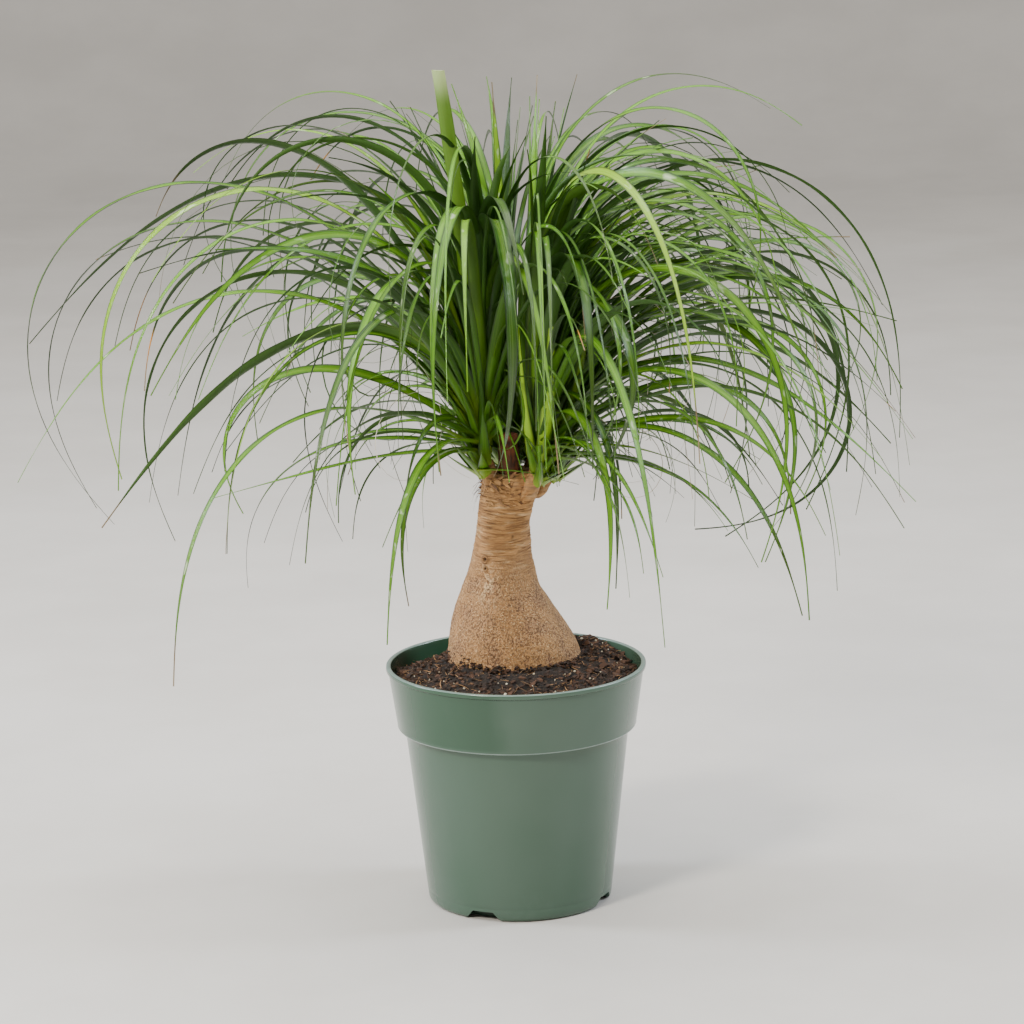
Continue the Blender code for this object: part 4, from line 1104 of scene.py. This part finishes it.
threads = {
    "pale": (0.72, 0.69, 0.58, 1), "brown": (0.36, 0.25, 0.14, 1), "root": (0.16, 0.20, 0.05, 1),
    "width": 0.0013, "least": 0.0004, "turn": (200, 420), "length": (0.26, 0.44), "swing": (-50, 50),
}


def threadFinish():
    material, shader, wire = newMaterial("dryThread")
    along, tint = wire.attribute("along"), wire.attribute("tint")
    grain = wire.place().noise(90, 4, 0.6)
    colour = (tint * 0.7 + grain * 0.4).between(0.1, 0.9).blend(threads["pale"], threads["brown"])
    colour = (1 - along.between(0.1, 0.5)).blend(colour, threads["root"])
    feed(shader, {"Base Color": colour, "Roughness": 0.55 + grain * 0.2})
    return material


def fineBlade(draw, leaf, least, skip=1):  # ring points of one channelled leaf, with its paints
    rows = np.arange(0, leaves["steps"] + 1, skip)
    u = rows / leaves["steps"]
    line = fitted(leafLine(leaf))[rows]
    side, face = leafSides(leaf, u)
    half = leafWidth(leaf, u, least) / 2
    clasp = 1 + leaves["clasp"] * np.exp(-u / leaves["claspReach"])  # the root broadens to clasp the head
    half = np.minimum(half * clasp, leaves["rootMost"])
    phase, waves = draw.uniform(0, 6.28), leaf["length"] * draw.uniform(9, 15)
    swell = 1 + 0.035 * np.sin(u * waves * 3.1 + phase)  # its width swells and its edges wave
    sway = half / 0.008 * leaves["wave"]
    lifts = (sway * np.sin(u * waves * 6.28 + phase), sway * np.sin(u * waves * 6.28 + phase + 2.1))
    depth = half * 2 * leaves["channel"] * (1 - 0.55 * u) + half * 0.5 * np.exp(-u / 0.05)
    full = np.minimum(1, half / 0.003 + 0.25)
    thick, thin = leaves["thick"] * full, leaves["edgeThick"] * full
    ring = (  # across, share of the channel's depth, side of the leaf (-1 under, 0 edge, 1 upper)
        (1, 0, 0), (0.52, -0.62, -1), (0, -1, -1), (-0.52, -0.62, -1),
        (-1, 0, 0), (-0.52, -0.62, 1), (0, -1, 1), (0.52, -0.62, 1),
    )
    points, paints = [], []
    for place, sunk, upper in ring:
        lift = depth * sunk + (lifts[0] if place > 0 else lifts[1] if place < 0 else 0)
        lift = lift + (thick if abs(place) < 0.3 else (thick + thin) / 2) * upper * 0.5
        points.append(line + side * (half * swell * place)[:, None] + face * lift[:, None])
        paints.append([place, 0.5 - upper / 2])
    points = np.stack(points, axis=1).reshape(-1, 3)
    across, under = np.tile(np.array(paints), (len(u), 1)).T
    return points, np.repeat(u, 8), across, under, len(u)


def bladesPiece(name, grown, material, draw, least, skip=1, dryness=leaves["dryShare"]):
    points, faces, count = [], [], 0
    paints = {"along": [], "across": [], "under": [], "tint": [], "dry": []}
    for leaf in grown:
        ring, along, across, under, rows = fineBlade(draw, leaf, least, skip)
        points.append(ring)
        faces += tubeFaces(rows, 8, first=count)
        count += len(ring)
        tint = leaf.get("tint", draw.random() ** 1.1)
        dry = draw.uniform(0.15, 0.8) if draw.random() < dryness else 0
        if leaf["blunt"]:
            dry = -1
        paints["along"].append(along * leaf.get("reach", 1))
        paints["across"].append(across)
        paints["under"].append(under)
        paints["tint"].append(0 * along + tint)
        paints["dry"].append(0 * along + dry)
    paints = {key: np.concatenate(value) for key, value in paints.items()}
    print(name + ":", len(grown), "leaves,", len(faces) * 2, "triangles")
    return newPiece(name, np.concatenate(points), faces, material, paints)


def fitted(line):  # a leaf's line, drawn in where it would leave the plain model's box
    low, high = (np.array(corner) for corner in cadBounds)
    low, high = low + room["margin"], high - room["margin"]
    offset = line - line[0]
    for axis in range(3):
        over = offset[:, axis].max() / max(1e-6, high[axis] - line[0, axis])
        under = -offset[:, axis].min() / max(1e-6, line[0, axis] - low[axis])
        offset[:, axis] /= np.where(offset[:, axis] > 0, max(1, over), max(1, under))
    return line[0] + offset


def makeHeads():
    material = leafFinish()
    fine, thin = [], []
    for name, head in heads.items():
        draw = random.Random(head["seed"])
        values = [(leaf, False) for leaf in head["given"]]
        values += [(drawnLeaf(draw, head, n, head["drawn"]), True) for n in range(head["drawn"])]
        taken = []
        grown = growLeaves(draw, head, values, leaves["tries"], taken)
        paint = random.Random(head["seed"] + 1)
        piece = bladesPiece("leaves" + name[5:], grown, material, paint, leaves["headLeast"])
        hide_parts(name)
        draw = random.Random(head["seed"] + 2)
        first, last = head["range"]
        head = dict(head, range=(first - leaves["spread"], last + leaves["spread"]))
        more = []
        for number in range(head["extra"]):
            *shape, width, middle = drawnLeaf(draw, head, number, head["extra"])
            more.append(((*shape, width * draw.uniform(*leaves["fineWidth"]), middle), True))
        fine += growLeaves(draw, head, more, leaves["fineTries"], taken, leaves["fineLift"])
        more = []
        for number in range(head["wisps"]):
            azimuth, rise, turn, length, _, _ = drawnLeaf(draw, head, number, head["wisps"])
            more.append(((
                azimuth, rise, turn * draw.uniform(*wisps["turn"]), length * draw.uniform(*wisps["length"]),
                draw.uniform(*wisps["width"]), draw.uniform(*wisps["halfTurnAt"]),
            ), True))
        thin += growLeaves(draw, head, more, wisps["tries"], taken, wisps["lift"])
    bladesPiece("leaves_fine_a", fine[::2], material, random.Random(71), leaves["fineLeast"])
    bladesPiece("leaves_fine_b", fine[1::2], material, random.Random(72), leaves["fineLeast"])
    bladesPiece("leaf_wisps", thin, material, random.Random(73), wisps["least"], 2)
    draw = random.Random(75)
    dry = [
        dict(
            leaf, azimuth=leaf["azimuth"] + 2, twist=-leaf["twist"], width=threads["width"],
            turn=draw.uniform(*threads["turn"]), length=draw.uniform(*threads["length"]),
            swing=draw.uniform(*threads["swing"]),
        ) for leaf in thin[3::7] if math.sin(math.radians(leaf["azimuth"])) > -0.6  # not at the front
    ]
    bladesPiece("dry_threads", dry, threadFinish(), random.Random(74), threads["least"], 2)
    return material


bases = {
    "perHead": 46, "goldenAngle": 137.5, "sway": (-10, 10), "rise": 28, "moreRise": 56, "riseSway": (-8, 8),
    "width": (0.010, 0.014), "length": (0.040, 0.065), "moreLength": 0.060, "opening": (0, 14),
    "out": 0.30, "in": 0.15, "low": -0.013, "up": 0.027, "tint": (0.25, 0.98), "reach": 0.30, "least": 0.0010,
}


def makeBases(material):  # short broad leaf bases that open out of each stub
    draw = random.Random(81)
    grown = []
    for head in heads.values():
        x, y, foot = head["place"]
        for number in range(bases["perHead"]):
            azimuth = number * bases["goldenAngle"] + draw.uniform(*bases["sway"])
            turn = math.radians(azimuth)
            layer = number / bases["perHead"]
            out = head["core"] * (bases["out"] - bases["in"] * layer)
            rise = bases["rise"] + bases["moreRise"] * layer + draw.uniform(*bases["riseSway"])
            tip = x + 0.05 * math.cos(math.radians(rise)) * math.cos(turn)
            if abs(tip - trunk["stumpPlace"][0]) < 0.015 and y < 0.03 and rise < 74:
                continue  # leaves the cut stump in view
            grown.append({
                "azimuth": azimuth, "rise": rise, "swing": 0,
                "turn": -draw.uniform(*bases["opening"]) if layer < 0.5 else 6,
                "length": draw.uniform(*bases["length"]) + bases["moreLength"] * layer,
                "width": draw.uniform(*bases["width"]), "middle": 0.5, "root": (
                    x + out * math.cos(turn), y + out * math.sin(turn),
                    foot + bases["low"] + bases["up"] * layer + draw.uniform(-0.002, 0.002),
                ),
                "blunt": False, "roll": 0, "twist": 0, "tint": draw.uniform(*bases["tint"]),
                "reach": bases["reach"],
            })
    bladesPiece("leaf_bases", grown, material, draw, bases["least"], 3, 0)


youngLeaves = {
    "least": 0.0010,
    "alike": {"middle": 0.4, "swing": 4, "roll": 6, "twist": 20, "reach": 0.55, "blunt": False},
    "each": (  # root, azimuth, rise, turn, length, width, tint
        ((0.026, -0.019, 0.432), 285, 58, -30, 0.210, 0.015, 1.15),
        ((0.030, -0.016, 0.432), 332, 60, -22, 0.185, 0.016, 1.03),
        ((0.022, -0.016, 0.434), 248, 64, -20, 0.150, 0.012, 1.10),
        ((-0.034, -0.015, 0.433), 352, 2, 18, 0.100, 0.0060, 0.60),  # lies across the trunk's top
    ),
}


def makeYoungLeaves(material):  # bright young leaves that the front shows
    names = ("root", "azimuth", "rise", "turn", "length", "width", "tint")
    grown = [dict(youngLeaves["alike"], **dict(zip(names, each))) for each in youngLeaves["each"]]
    bladesPiece("young_leaves", grown, material, random.Random(83), youngLeaves["least"], 2, 0)


# Stage: a plain round floor with a raised rim, soft lights and the camera

stage = {
    "flat": 5.4, "curve": 1.8, "wallTop": 3.4, "sides": 96,
    "floor": (0.560, 0.535, 0.500, 1), "floorShade": (0.510, 0.485, 0.450, 1),
    "sky": (0.88, 0.87, 0.85, 1), "skyStrength": 0.36,
    "lamps": (  # name, place, aim, size, power, colour
        ("window", (-1.7, -2.2, 2.3), (0, 0, 0.50), (0.6, 0.6), 125, (1.0, 0.95, 0.86)),
        ("above", (0, 0.6, 4.4), (0, 0.6, 0), (5.0, 5.0), 330, (1.0, 0.98, 0.95)),
        ("sideRight", (2.6, 0.3, 1.8), (0, 0, 0.20), (0.65, 1.6), 85, (0.82, 0.90, 1.0)),
        ("sideLeft", (-2.6, 0.3, 1.8), (0, 0, 0.20), (0.65, 1.6), 85, (0.82, 0.90, 1.0)),
    ),
    "cameraPlace": (-0.001, -3.5, 1.15), "pitch": 12.3, "roll": 1.1, "focal": 3700, "pictureWidth": 1024,
}


def groundFinish():
    material, shader, wire = newMaterial("paleGround")
    grain = wire.place().noise(3, 4, 0.6)
    feed(shader, {
        "Base Color": grain.between(0.3, 0.7).blend(stage["floor"], stage["floorShade"]),
        "Roughness": 0.75 + grain * 0.1,
    })
    return material


def makeStage():
    flat, curve = stage["flat"], stage["curve"]
    rings = [(0.8, 0), (2.4, 0), (flat, 0)]
    bend = np.linspace(0.12, math.pi / 2, 14)
    rings += [(flat + curve * math.sin(t), curve - curve * math.cos(t)) for t in bend]
    rings.append((flat + curve, stage["wallTop"]))
    turns = turnsRound(stage["sides"])
    points = [(radius * math.cos(t), radius * math.sin(t), z) for radius, z in rings for t in turns]
    mesh = bpy.data.meshes.new("ground")
    faces = tubeFaces(len(rings), stage["sides"], topCap=False)
    mesh.from_pydata(points, [], [list(reversed(face)) for face in faces])
    mesh.materials.append(groundFinish())
    mesh.shade_smooth()
    ground = bpy.data.objects.new("ground", mesh)
    addToScene(ground)
    print("ground:", len(points), "points")


def makeLights():
    world = bpy.data.worlds.new("softRoom")
    world.use_nodes = True
    world.node_tree.nodes["Background"].inputs["Color"].default_value = stage["sky"]
    world.node_tree.nodes["Background"].inputs["Strength"].default_value = stage["skyStrength"]
    bpy.context.scene.world = world
    for name, place, aim, size, power, colour in stage["lamps"]:
        light = bpy.data.lights.new(name, "AREA")
        light.shape = "RECTANGLE"
        light.size, light.size_y = size
        light.energy, light.color = power, colour
        lamp = bpy.data.objects.new(name, light)
        lamp.location = place
        lamp.rotation_euler = (Vector(aim) - Vector(place)).to_track_quat("-Z", "Y").to_euler()
        lamp.visible_camera = False
        addToScene(lamp)
    print("lamps:", len(stage["lamps"]))


def makeCamera():
    pitch, roll = math.radians(stage["pitch"]), math.radians(stage["roll"])
    right, up = Vector((1, 0, 0)), Vector((0, math.sin(pitch), math.cos(pitch)))
    forward = Vector((0, math.cos(pitch), -math.sin(pitch)))
    rolledRight = right * math.cos(roll) - up * math.sin(roll)
    rolledUp = up * math.cos(roll) + right * math.sin(roll)
    camera = bpy.data.objects.new("camera", bpy.data.cameras.new("camera"))
    camera.data.sensor_width = 36
    camera.data.lens = stage["focal"] / stage["pictureWidth"] * camera.data.sensor_width
    turn = Matrix((rolledRight, rolledUp, -forward)).transposed().to_4x4()
    camera.matrix_world = Matrix.Translation(stage["cameraPlace"]) @ turn
    addToScene(camera)
    bpy.context.scene.camera = camera
    print("camera set")


bark = barkFinish()
makePot()
makeSoil()
makeTrunk(bark)
makeStubs(bark)
makeScales()
makeHairs()
makeChips()
makeFibres()
makeGrains()
strapLeaf = makeHeads()
makeBases(strapLeaf)
makeYoungLeaves(strapLeaf)
makeStage()
makeLights()
makeCamera()
